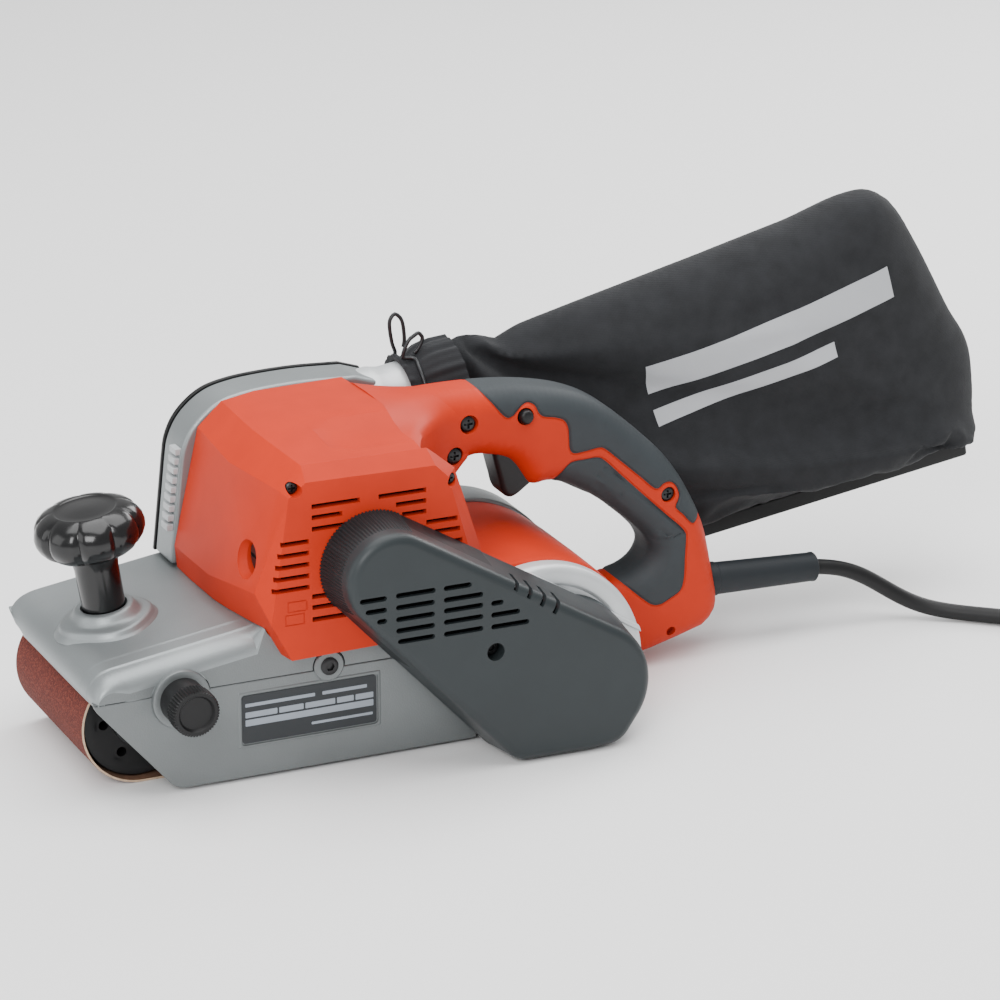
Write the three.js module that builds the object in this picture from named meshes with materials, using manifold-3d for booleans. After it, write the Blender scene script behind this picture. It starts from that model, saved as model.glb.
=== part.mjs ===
// Handheld belt sander for 100 x 610 mm belts, in millimetres.
// Origin: centre of the flat sanding face. +X runs to the handle, +Y to the open side, +Z up.
import * as THREE from "three";
import { ConvexGeometry } from "three/addons/geometries/ConvexGeometry.js";
import { mergeVertices } from "three/addons/utils/BufferGeometryUtils.js";
import Module from "manifold-3d";

const wasm = await Module();
wasm.setup();

// ---------------------------------------------------------------- driving dimensions
const GAP = 0.3;
const BELT_WIDTH = 100;
const BELT_LENGTH = 610;
const BELT_THICK = 1.2;
const LOOP_R = 30;
const BELT_R = LOOP_R + BELT_THICK;
const AXLE_X = (BELT_LENGTH - 2 * Math.PI * (LOOP_R + BELT_THICK / 2)) / 4;
const AXLE_Z = BELT_R;
const ROLLER_R = 29.6;
const ROLLER_HALF = 46;
const CROWN = 0.7;

const WALL_Y = -71;
const FAR_Y = 58;
const DECK_SLOPE = 0.145;
const DECK_Z = 70.6;
const SEAM_Z = 53;
const CASE_R = 57.5;
const TOP_Z = AXLE_Z + CASE_R;

const MOTOR = { x: 10, z: 107 };
const MODULE = 4 / 3;
const PINION_TEETH = 12;
const RING_TEETH = 33;
const GEAR_CENTRES = (MODULE * (RING_TEETH - PINION_TEETH)) / 2;
const GEAR_LINE = 119.6;
const MOTOR_PULLEY_R = 7.5;
const DRIVEN_PULLEY_R = 26;
const PINION = {
  x: AXLE_X + GEAR_CENTRES * Math.cos((GEAR_LINE * Math.PI) / 180),
  z: AXLE_Z + GEAR_CENTRES * Math.sin((GEAR_LINE * Math.PI) / 180),
};
const COVER_Y = -110;
const HOUSING_Y = -80;
const HOUSING_FAR_Y = 31;

const LEVER_Y = 42.5;
const STEER_X = -64;
const KNOB = { x: -106.8, y: -7, z: 77, tilt: 9 };
const TRACK = { x: -91, z: 50 };
const NOZZLE = { x: 58, y: 44, z: 147.5, tilt: 9, r: 17 };
const HANDLE_HALF = 17.5;
const BAG_Y = 56;
const BAG_HALF = 31;

const CORD_D = 8.5;
const GUARD_START = { x: 237.5, z: 37 };
const GUARD_LENGTH = 60;
const COIL = { x: 414, y: -150, inner: 40.3, outer: 61.3, layers: 2 };

// ---------------------------------------------------------------- materials
function paint(color, roughness, metalness = 0) {
  return new THREE.MeshStandardMaterial({ color, roughness, metalness });
}
const ORANGE = [0xd9502c, 0.45];
const RUBBER = [0x3a4146, 0.75];
const BLACK = [0x1d1f21, 0.5];
const CHARCOAL = [0x3b3f42, 0.5];
const CAST = [0x9da1a1, 0.45, 0.8];
const STEEL = [0x8d8f92, 0.35, 0.9];
const DARK_STEEL = [0x2b2c2e, 0.4, 0.7];
const COPPER = [0x9a5a32, 0.4, 0.8];
const SILVER = [0xc9cccd, 0.4, 0.6];
const CLOTH = [0x1b1b1d, 0.95];

// ---------------------------------------------------------------- solids
function solid(geometry) {
  const g = geometry.index ? geometry.toNonIndexed() : geometry.clone();
  g.deleteAttribute("normal");
  g.deleteAttribute("uv");
  const merged = mergeVertices(g, 1e-3);
  return new wasm.Manifold(
    new wasm.Mesh({
      numProp: 3,
      vertProperties: new Float32Array(merged.attributes.position.array),
      triVerts: new Uint32Array(merged.index.array),
    }),
  );
}

function toGeometry(body) {
  const m = body.getMesh();
  const g = new THREE.BufferGeometry();
  g.setAttribute("position", new THREE.BufferAttribute(m.vertProperties, 3));
  g.setIndex(new THREE.BufferAttribute(m.triVerts, 1));
  g.computeVertexNormals();
  return g;
}

function join(...bodies) {
  return bodies.reduce((a, b) => a.add(b));
}

function cut(body, ...tools) {
  return tools.reduce((a, b) => a.subtract(b), body);
}

function box(x0, x1, y0, y1, z0, z1) {
  const g = new THREE.BoxGeometry(x1 - x0, y1 - y0, z1 - z0);
  return solid(g.translate((x0 + x1) / 2, (y0 + y1) / 2, (z0 + z1) / 2));
}

// A closed outline in X and Z, drawn straight out along Y from y0 to y1.
function slab(shape, y0, y1, segments = 24) {
  const s = Array.isArray(shape) ? new THREE.Shape(shape.map((p) => new THREE.Vector2(...p))) : shape;
  const g = new THREE.ExtrudeGeometry(s, { depth: y1 - y0, bevelEnabled: false, curveSegments: segments });
  return solid(g.rotateX(Math.PI / 2).translate(0, y1, 0));
}

// Profile points are [radius, place along the axis]; the axis runs along Y through (x, z).
function turned(profile, x = 0, z = 0, segments = 32) {
  const pts = profile.map((p) => new THREE.Vector2(...p));
  return solid(new THREE.LatheGeometry(pts, segments).translate(x, 0, z));
}

function ring(rIn, rOut, y0, y1, x, z, segments = 32) {
  return turned([[rIn, y0], [rOut, y0], [rOut, y1], [rIn, y1], [rIn, y0]], x, z, segments);
}

function disc(r, y0, y1, x, z, segments = 32) {
  return turned([[0, y0], [r, y0], [r, y1], [0, y1]], x, z, segments);
}

// A turned piece whose axis points along dir from the point base.
function turnedAlong(profile, base, dir, segments = 24) {
  const pts = profile.map((p) => new THREE.Vector2(...p));
  const g = new THREE.LatheGeometry(pts, segments);
  const q = new THREE.Quaternion().setFromUnitVectors(new THREE.Vector3(0, 1, 0), dir.clone().normalize());
  return solid(g.applyQuaternion(q).translate(base.x, base.y, base.z));
}

// A round bar standing along Z at (x, y).
function post(r, z0, z1, x, y, segments = 16) {
  return disc(r, z0, z1, 0, 0, segments).rotate([90, 0, 0]).translate([x, y, 0]);
}

function hull(points) {
  return solid(new ConvexGeometry(points.map((p) => new THREE.Vector3(...p))));
}

// A tube of round section along a curve.
function tube(curve, radius, steps, sides) {
  const section = new THREE.Shape();
  section.absarc(0, 0, radius, 0, 2 * Math.PI, false);
  const g = new THREE.ExtrudeGeometry(section, {
    steps,
    extrudePath: curve,
    curveSegments: sides,
    bevelEnabled: false,
  });
  return solid(g);
}

function arc(cx, cz, r, from, to, steps) {
  return Array.from({ length: steps + 1 }, (_, i) => {
    const a = ((from + ((to - from) * i) / steps) * Math.PI) / 180;
    return [cx + r * Math.cos(a), cz + r * Math.sin(a)];
  });
}

const root = new THREE.Group();
function add(name, body, [color, roughness, metalness]) {
  const mesh = new THREE.Mesh(toGeometry(body), paint(color, roughness, metalness));
  mesh.name = name;
  root.add(mesh);
}

const deckAt = (x) => DECK_Z + DECK_SLOPE * (x + AXLE_X);

// ---------------------------------------------------------------- frame
const LIP = { x: -134, z: 51 };
const DECK_BREAK_X = -47;
const DECK_LOW_Z = 67.2;
const INNER_R = 33;

function deckOutline() {
  const top = AXLE_Z + INNER_R;
  return [
    [LIP.x + 2.5, LIP.z],
    [LIP.x, LIP.z],
    [-136.5, 58],
    [-134.5, 65.5],
    [-128, deckAt(-128)],
    [DECK_BREAK_X, deckAt(DECK_BREAK_X)],
    [DECK_BREAK_X + 1, DECK_LOW_Z],
    [64, DECK_LOW_Z],
    [64, top],
    ...arc(-AXLE_X, AXLE_Z, INNER_R, 90, 144, 6),
  ].reverse();
}

function rearGuardOutline() {
  return [
    ...arc(AXLE_X, AXLE_Z, INNER_R + 3, -20, 90, 10),
    [60, AXLE_Z + INNER_R + 3],
    [60, AXLE_Z + INNER_R],
    ...arc(AXLE_X, AXLE_Z, INNER_R, 90, -20, 10),
  ];
}

function nearWallOutline() {
  return [
    [-136.2, SEAM_Z + GAP],
    [60, SEAM_Z + GAP],
    [60, DECK_LOW_Z],
    [DECK_BREAK_X + 1, DECK_LOW_Z],
    [DECK_BREAK_X, deckAt(DECK_BREAK_X)],
    [-128, deckAt(-128)],
    [-134.5, 65.5],
    [-136.5, 58],
  ];
}

function knobFrame() {
  const a = (KNOB.tilt * Math.PI) / 180;
  return {
    base: new THREE.Vector3(KNOB.x, KNOB.y, KNOB.z),
    dir: new THREE.Vector3(-Math.sin(a), 0, Math.cos(a)),
  };
}

function frameCasting() {
  const { base, dir } = knobFrame();
  const deck = slab(deckOutline(), WALL_Y, FAR_Y);
  const roundOver = hull([
    [-150, WALL_Y - 1, deckAt(-150) - 10], [-150, WALL_Y - 1, deckAt(-150) + 9],
      [-150, -61, deckAt(-150) + 9],
    [-150, -61, deckAt(-150)], [-46, WALL_Y - 1, deckAt(-46) - 10], [-46, WALL_Y - 1, deckAt(-46) + 9],
    [-46, -61, deckAt(-46) + 9], [-46, -61, deckAt(-46)],
  ]);
  const farLip = hull([
    [-150, 38, 40], [-150, 38, 50], [-150, 60, 61], [-150, 60, 40],
    [-110, 38, 40], [-110, 38, 50], [-110, 60, 61], [-110, 60, 40],
  ]);
  const wall = slab(nearWallOutline(), WALL_Y, -66);
  const rearGuard = slab(rearGuardOutline(), -54, FAR_Y);
  const web = box(-62, 126, -61.3, -54, 9, 65);
  const beam = box(-48, 66, -55, 38, 9, 52);
  const lugLow = box(-6, 6, 37, 47, 22, 25.7);
  const lugHigh = box(-6, 6, 37, 47, 36.3, 40);
  const boss = turnedAlong([[0, -9], [22, -9], [20.5, -2.5], [15.5, -1.5], [14.5, -GAP], [0, -GAP]],
    base, dir);
  const studs = [[-50, 30], [-10, 30], [40, 30]].map(([x, z]) => disc(5, WALL_Y + 3.8, -60, x, z, 16));
  const sliderBore = box(-60, 26, -9, 9, 22, 39);
  const pin = post(2.6, 20, 60, 0, LEVER_Y);
  const driveBore = disc(13.3, -70, -50, AXLE_X, AXLE_Z);
  const rollerRoom = disc(22, -54.2, -40, AXLE_X, AXLE_Z);
  const knobBore = turnedAlong([[0, -20], [4.3, -20], [4.3, 2], [0, 2]], base, dir, 16);
  const trackRoom = disc(15.6, WALL_Y - 2, -60, TRACK.x, TRACK.z, 24);
  const tabRoom = disc(8.3, WALL_Y - 2, -67.2, -12.4, 54.5, 20);
  const plateRoom = box(-150, 69, WALL_Y - 1, WALL_Y + 3.8, 0, SEAM_Z + GAP);
  const shell = cut(join(deck, wall), roundOver, farLip, plateRoom);
  const solids = join(shell, web, beam, lugLow, lugHigh, boss, ...studs);
  return cut(join(solids, rearGuard), sliderBore, pin, driveBore, rollerRoom, knobBore, trackRoom, tabRoom);
}

function sidePlate() {
  const outline = [
    [-136, SEAM_Z], [-134.5, 50], [-101, 10], ...arc(-87, 14, 12, 230, 270, 4), [68, 2], [68, SEAM_Z],
  ];
  const body = slab(outline, WALL_Y, WALL_Y + 3.5);
  const collar = disc(15.2, WALL_Y - 2.5, WALL_Y + 3.5, TRACK.x, TRACK.z, 24);
  const tab = disc(8, WALL_Y, WALL_Y + 3.5, -12.4, 54.5, 20);
  const knobHole = disc(12.6, WALL_Y - 5, WALL_Y + 1.2, TRACK.x, TRACK.z, 24);
  const screwHole = disc(2.4, WALL_Y - 5, WALL_Y + 5, TRACK.x, TRACK.z, 16);
  const tabSink = disc(5.2, WALL_Y - 5, WALL_Y + 1.2, -12.4, 54.5, 20);
  const tabHole = disc(2.4, WALL_Y - 5, WALL_Y + 5, -12.4, 54.5, 16);
  const labelRecess = box(-59.6, 13.8, WALL_Y - 1, WALL_Y + 0.9, 19.3, 46.2);
  return cut(join(body, collar, tab), knobHole, screwHole, tabSink, tabHole, labelRecess);
}

// ---------------------------------------------------------------- belt, rollers and sole
function loopShape(r) {
  const s = new THREE.Shape();
  s.absarc(AXLE_X, AXLE_Z, r, -Math.PI / 2, Math.PI / 2, false);
  s.absarc(-AXLE_X, AXLE_Z, r, Math.PI / 2, (3 * Math.PI) / 2, false);
  return s;
}

function sandingBelt() {
  return cut(
    slab(loopShape(BELT_R), -BELT_WIDTH / 2, BELT_WIDTH / 2, 18),
    slab(loopShape(LOOP_R), -BELT_WIDTH, BELT_WIDTH, 18),
  );
}

function frontRoller() {
  const rim = [[ROLLER_R - CROWN, -ROLLER_HALF], [ROLLER_R, 0], [ROLLER_R - CROWN, ROLLER_HALF]];
  const inner = [[13, ROLLER_HALF], [13, 34], [24, 32], [24, -32], [13, -34], [13, -ROLLER_HALF]];
  return turned([...rim, ...inner, rim[0]], -AXLE_X, AXLE_Z, 32);
}

function driveRoller() {
  const profile = [
    [6.3, -ROLLER_HALF], [ROLLER_R - 0.2, -ROLLER_HALF], [ROLLER_R - 0.2, ROLLER_HALF], [6.3, ROLLER_HALF],
    [6.3, -ROLLER_HALF],
  ];
  return turned(profile, AXLE_X, AXLE_Z, 32);
}

const FORK_Y = 46.9;

function frontFork() {
  const cross = box(-70.5, -58, -49.3, 49.3, 22, 40);
  const arms = [-49.3, FORK_Y].map((y) =>
    join(disc(11, y, y + 2.4, -AXLE_X, AXLE_Z, 24), box(-AXLE_X, -60, y, y + 2.4, 24, 38)),
  );
  const clevis = box(-76, -50, -12, 12, 27.4, 34.6);
  const pinHole = post(3.3, 10, 60, STEER_X, 0);
  const axleHole = disc(6.3, -60, 60, -AXLE_X, AXLE_Z, 20);
  return cut(join(cross, ...arms), clevis, pinHole, axleHole);
}

function tensionSlider() {
  const bar = box(-49, -18, -8, 8, 23, 38);
  const tongue = box(-69, -40, -6, 6, 28, 34);
  const pivot = post(2.9, 22.3, 39.7, STEER_X, 0);
  return join(bar, tongue, pivot);
}

function tensionSpring() {
  const turns = 6;
  const points = Array.from({ length: turns * 10 + 1 }, (_, i) => {
    const a = (i / 10) * 2 * Math.PI;
    return new THREE.Vector3(-16 + (i / (turns * 10)) * 38, 5 * Math.cos(a), 30.5 + 5 * Math.sin(a));
  });
  return tube(new THREE.CatmullRomCurve3(points), 0.8, turns * 10, 2);
}

function tensionLever() {
  const arm = box(-47, 0, 39, 44.5, 27, 35);
  const hub = post(4.2, 26, 36, 0, LEVER_Y);
  const pin = post(2.2, 22.3, 39.7, 0, LEVER_Y, 12);
  const grip = box(-53, -40, 40, 47, 25.5, 36.5);
  return join(arm, hub, pin, grip);
}

// ---------------------------------------------------------------- drive train
function gearOutline(teeth, outward, pitchHalf, rise, fall) {
  const r = (MODULE * teeth) / 2;
  const tip = outward ? r + rise : r - rise;
  const root = outward ? r - fall : r + fall;
  const tipHalf = pitchHalf - rise * Math.tan(Math.PI / 9);
  const rootHalf = pitchHalf + fall * Math.tan(Math.PI / 9);
  const points = [];
  for (let i = 0; i < teeth; i++) {
    const a = (i / teeth) * 2 * Math.PI;
    [[root, -rootHalf], [tip, -tipHalf], [tip, tipHalf], [root, rootHalf]].forEach(([rr, w]) => {
      const t = a + w / rr;
      points.push([rr * Math.cos(t), rr * Math.sin(t)]);
    });
  }
  return points;
}

function pinion() {
  const teeth = slab(gearOutline(PINION_TEETH, true, 0.82, 1, 1.4), -67.8, -64.7);
  const shaft = disc(4.6, -92.5, -64.7, 0, 0, 24);
  return join(teeth, shaft).translate([PINION.x, 0, PINION.z]);
}

// The ring's teeth are turned so that one of its gaps takes the pinion's nearest tooth.
function meshAngles() {
  const line = Math.atan2(PINION.z - AXLE_Z, PINION.x - AXLE_X);
  const pinionPhase = line;
  const ringPhase = line + Math.PI / RING_TEETH;
  return { pinionPhase, ringPhase };
}

function ringGear() {
  const outer = disc((MODULE * RING_TEETH) / 2 + 3.8, -68, -62.3, 0, 0, 36);
  const bore = slab(gearOutline(RING_TEETH, false, 0.82, 1, 1.4), -70, -64.3);
  const shaftHole = disc(6.3, -70, -60, 0, 0, 24);
  return cut(outer, bore, shaftHole).translate([AXLE_X, 0, AXLE_Z]);
}

function pulley(r, x, z, y0, y1, bore) {
  const face = [[r, y0 + 1.5], [r, y1 - 1.5]];
  const profile = [
    [bore, y0], [r + 1.5, y0], [r + 1.5, y0 + 1.2], ...face, [r + 1.5, y1 - 1.2], [r + 1.5, y1],
      [bore, y1], [bore, y0],
  ];
  return turned(profile, x, z, 24);
}

function driveBeltShape(extra) {
  const dx = PINION.x - MOTOR.x;
  const dz = PINION.z - MOTOR.z;
  const line = (Math.atan2(dz, dx) * 180) / Math.PI;
  const lean = (Math.acos((MOTOR_PULLEY_R - DRIVEN_PULLEY_R) / Math.hypot(dx, dz)) * 180) / Math.PI;
  return [
    ...arc(MOTOR.x, MOTOR.z, MOTOR_PULLEY_R + extra, line + lean, line - lean + 360, 12),
    ...arc(PINION.x, PINION.z, DRIVEN_PULLEY_R + extra, line - lean, line + lean, 18),
  ];
}

function driveBelt() {
  return cut(slab(driveBeltShape(3), -89.5, -81.9), slab(driveBeltShape(0.5), -92, -78));
}

// ---------------------------------------------------------------- gear case, fender and duct
function caseOutline(r, x0, z0) {
  const a0 = (Math.acos((x0 - AXLE_X) / r) * 180) / Math.PI;
  const a1 = (Math.asin((z0 - AXLE_Z) / r) * 180) / Math.PI;
  return [[x0, z0], ...arc(AXLE_X, AXLE_Z, r, a1, a0, 18)];
}

function gearCase() {
  const shell = hull(
    caseOutline(CASE_R, 68.3, 2.5).map(([x, z]) => [x, -62.2, z]).concat(
      caseOutline(CASE_R, 68.3, 2.5).map(([x, z]) => [x, -67, z]),
      caseOutline(CASE_R - 3.5, 68.3, 3).map(([x, z]) => [x, WALL_Y, z]),
    ),
  );
  const room = slab(caseOutline(CASE_R - 4, 72, 4.8), -68.4, -50);
  const boss = disc(13, -77, -68, PINION.x, PINION.z);
  const seat = disc(10.3, -76, -60, PINION.x, PINION.z);
  const hole = disc(6, -80, -60, PINION.x, PINION.z, 20);
  return cut(join(cut(shell, room), boss), seat, hole);
}

const REAR_FLAT_X = 62.6;
const FENDER_T = 3;

function rearFender() {
  const rIn = CASE_R - FENDER_T;
  const outline = [
    [REAR_FLAT_X, 69], [REAR_FLAT_X + FENDER_T, 69], [REAR_FLAT_X + FENDER_T, AXLE_Z + rIn],
    ...arc(AXLE_X, AXLE_Z, rIn, 90, 0, 14), [AXLE_X + rIn, 6], [AXLE_X + CASE_R, 6],
    ...arc(AXLE_X, AXLE_Z, CASE_R, 0, 90, 14), [REAR_FLAT_X, TOP_Z],
  ];
  return slab(outline.reverse(), -61.9, 34);
}

function dustDuct() {
  const block = (t) => [
    [REAR_FLAT_X - (t ? 1 : 0), 67.6 + t], [AXLE_X, AXLE_Z + 36.4 + t],
    ...arc(AXLE_X, AXLE_Z, 36.4 + t, 90, -8 - t, 12), ...arc(AXLE_X, AXLE_Z, CASE_R - t, -6 - t, 90, 14),
    [REAR_FLAT_X - (t ? 1 : 0), TOP_Z - t],
  ];
  return cut(slab(block(0).reverse(), 34.4, FAR_Y), slab(block(2.5).reverse(), 37, FAR_Y - 2.5));
}

// ---------------------------------------------------------------- motor housing and motor
function housingRings() {
  const near = [[-35.5, 64], [-46, 84], [-44, 101], [-36, 149], [-27, 156], [42, 155], [49, 148],
    [60, 109], [64, 66]];
  const mid = [[-34, 62], [-45, 78], [-51.5, 99], [-38.5, 151], [-26, 162], [41, 161.5], [56, 149],
    [70, 105], [73, 64]];
  const high = [[-52, 70], [-56, 92], [-44, 150], [-30, 166], [-10, 170], [45, 170], [62, 160],
    [66, 100], [62, 68]];
  const far = [[-53, 70], [-55, 90], [-41, 152], [-28, 164], [-10, 167], [45, 168], [58, 162], [62, 100],
    [62, 68]];
  return [
    ...near.map(([x, z]) => [x, HOUSING_Y, z]), ...mid.map(([x, z]) => [x, -71.4, z]),
    ...high.map(([x, z]) => [x, -25, z]), ...far.map(([x, z]) => [x, HOUSING_FAR_Y, z]),
  ];
}

function ventSlots() {
  const slots = [];
  for (let i = 0; i < 3; i++) slots.push([-24, -24 + 26 - 6 * i, 143 - 5.6 * i],
    [11 + 6 * i, 36, 143 - 5.6 * i]);
  for (let i = 0; i < 8; i++) slots.push([-40 - 0.8 * i, -27, 125 - 5.6 * i], [46, 56, 124 - 5.6 * i]);
  return slots.map(([x0, x1, z]) => box(x0, x1, HOUSING_Y - 1, -69, z - 1.3, z + 1.3));
}

const SCREW_SPOTS = {
  housing_screw_front: [-32, 152],
  housing_screw_rear: [52, 145],
};

function motorHousing() {
  const shell = hull(housingRings());
  const under = box(-90, 90, WALL_Y - GAP, 60, 50, DECK_LOW_Z + GAP);
  const front = hull([
    [-90, WALL_Y - GAP, 60], [-45.6, WALL_Y - GAP, 60], [-90, 60, 60], [-45.6, 60, 60],
    [-90, WALL_Y - GAP, deckAt(-90) + 0.4], [-90, 60, deckAt(-90) + 0.4],
    [-45.6, WALL_Y - GAP, deckAt(-45.6) + 0.4], [-45.6, 60, deckAt(-45.6) + 0.4],
  ]);
  const rearRoom = box(62.2, 90, WALL_Y - GAP, 60, 50, TOP_Z + 0.5);
  const handleRoom = box(62.2, 90, -36, 60, TOP_Z, 200);
  const motorRoom = disc(37, -69, 40, MOTOR.x, MOTOR.z, 40);
  const bearingSeat = disc(9.3, -78, -60, MOTOR.x, MOTOR.z, 24);
  const shaftHole = disc(6, -90, -60, MOTOR.x, MOTOR.z, 20);
  const brushHole = disc(8, -6, 25, 0, 0, 24).rotate([0, 0, 90]).translate([-40, -57, 112]);
  const screws = Object.values(SCREW_SPOTS).map(([x, z]) => disc(3.4, -82, -68, x, z, 16));
  return cut(shell, under, front, rearRoom, handleRoom, motorRoom, bearingSeat, shaftHole, brushHole,
    ...screws, ...ventSlots());
}

function armature() {
  const profile = [
    [0, -92.5], [4.6, -92.5], [4.6, -47], [22, -47], [22, -3], [4.6, -3], [4.6, 50], [0, 50],
  ];
  return turned(profile, MOTOR.x, MOTOR.z, 28);
}

function stator() {
  return ring(22.9, 36.5, -50, 0, MOTOR.x, MOTOR.z, 36);
}

function fan(y0, y1, r, blades) {
  const hub = ring(4.9, 9, y0, y1, 0, 0, 20);
  const backplate = ring(4.9, r, y0, y0 + 1.5, 0, 0, 32);
  const vanes = Array.from({ length: blades }, (_, i) =>
    box(8, r - 0.5, y0, y1, -0.8, 0.8).rotate([0, (360 * i) / blades, 0]),
  );
  return join(hub, backplate, ...vanes).translate([MOTOR.x, 0, MOTOR.z]);
}

// ---------------------------------------------------------------- dust housing, nozzle and bag
function dustOutline(grow) {
  return [
    [-57 - grow, 79.2], [-55.5 - grow, 86], [-51 - grow, 127], [-50 - grow, 143], [-35.5, 159.5 + grow],
    [-29, 164 + grow], [-2, 168 + grow], [46, 167 + grow], [58, 163 + grow], [60, 150], [60, 90],
      [60, 67.6],
    [-46, 67.6], [-46, 79.2],
  ];
}

function dustHousing() {
  const body = slab(dustOutline(0).reverse(), HOUSING_FAR_Y + GAP, 55);
  const fanRoom = disc(41, 34, 60, MOTOR.x, MOTOR.z, 36);
  const shaftHole = disc(8, 20, 40, MOTOR.x, MOTOR.z, 20);
  const outlet = box(20, 70, 37, 51, 138, 155);
  const inlet = box(40, 70, 38, 54, 72, 86);
  return cut(body, fanRoom, shaftHole, outlet, inlet);
}

function nozzleDir() {
  const a = (NOZZLE.tilt * Math.PI) / 180;
  return new THREE.Vector3(Math.cos(a), 0, Math.sin(a));
}

function dustNozzle() {
  const base = new THREE.Vector3(NOZZLE.x + 5.4, NOZZLE.y, NOZZLE.z);
  const r = NOZZLE.r;
  const profile = [[r - 2.2, 0], [r + 1, 0], [r, 6], [r, 22], [r - 2.2, 22], [r - 2.2, 0]];
  return turnedAlong(profile, base, nozzleDir(), 32);
}

const BAG_OUTLINE = [
  [92, 168], [173, 185], [254, 206.5], [356, 221], [378, 210], [404, 168], [430, 127], [428, 95],
    [419, 72.5],
  [246, 47], [92, 131],
];

function alongNozzle(t) {
  const d = nozzleDir();
  return [NOZZLE.x + 5.4 + t * d.x, NOZZLE.y, NOZZLE.z + t * d.z];
}

function dustBag() {
  const centre = [270, 130];
  const points = BAG_OUTLINE.flatMap(([x, z]) => [[x, BAG_Y - 2, z], [x, BAG_Y + 2, z]]);
  const puffed = BAG_OUTLINE.filter(([x]) => x > 100).flatMap(([x, z]) => {
    const px = centre[0] + (x - centre[0]) * 0.6;
    const pz = centre[1] + (z - centre[1]) * 0.6;
    return [[px, BAG_Y - BAG_HALF, pz], [px, BAG_Y + BAG_HALF, pz]];
  });
  const neckRing = arc(0, 0, 18.5, 0, 330, 11).map(([a, b]) => {
    const [x, y, z] = alongNozzle(30);
    return [x - b * 0.15, y + a, z + b];
  });
  const body = hull([...points.filter(([x]) => x > 100), ...puffed, ...neckRing]);
  const base = new THREE.Vector3(...alongNozzle(8));
  const neck = turnedAlong([[0, 0], [NOZZLE.r + 2.4, 0], [NOZZLE.r + 2.4, 26], [0, 26]],
    base, nozzleDir(), 32);
  const socket = turnedAlong([[0, -2], [NOZZLE.r + 0.4, -2], [NOZZLE.r + 0.4, 14.6], [0, 14.6]],
    base, nozzleDir(), 32);
  const hem = hull([
    [246, BAG_Y - 1.2, 49], [246, BAG_Y + 1.2, 49], [246, BAG_Y - 1.2, 40.5], [246, BAG_Y + 1.2, 40.5],
    [419, BAG_Y - 1.2, 74.5], [419, BAG_Y + 1.2, 74.5], [419, BAG_Y - 1.2, 66], [419, BAG_Y + 1.2, 66],
  ]);
  return cut(join(body, neck, hem), socket);
}

function bagBar() {
  const slope = Math.atan2(66 - 40.5, 419 - 246);
  const length = 178;
  const outer = box(0, length, -4.5, 4.5, -2.5, 6);
  const slot = box(-5, length + 5, -1.7, 1.7, -0.4, 20);
  const degrees = (-slope * 180) / Math.PI;
  return cut(outer, slot).rotate([0, degrees, 0]).translate([244, BAG_Y, 40.3]);
}

function bagClip() {
  const [cx, cy, cz] = alongNozzle(12);
  const r = NOZZLE.r + 4.2;
  const points = [];
  const loop = (y, lean, height) =>
    [[-2, 0], [-4, height], [0, height + 5], [4, height], [3, 3]].map(([dx, dz]) =>
      new THREE.Vector3(cx + lean + dx, y, cz + r + dz));
  points.push(...loop(cy + 7, -3, 18).reverse());
  for (let i = 1; i < 16; i++) {
    const a = Math.PI / 2 - (i / 16) * 2 * Math.PI;
    const d = r * Math.sin(a);
    points.push(new THREE.Vector3(cx - 0.16 * d + (i - 8) * 0.35, cy + r * Math.cos(a), cz + d));
  }
  points.push(...loop(cy - 7, 5, 10));
  return tube(new THREE.CatmullRomCurve3(points, false, "centripetal"), 1.1, 64, 3);
}

// ---------------------------------------------------------------- belt cover
const COVER_LOBES = [[8, 108.5, 24.5], [112, 30, 34], [80, 14, 12.5]];
const COVER_FLOOR_Z = 1.5;

function lobePoints(lobes, grow, y) {
  return lobes.flatMap(([x, z, r]) => arc(x, z, r + grow, 0, 345, 23).map(([px, pz]) => [px, y, pz]));
}

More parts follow.
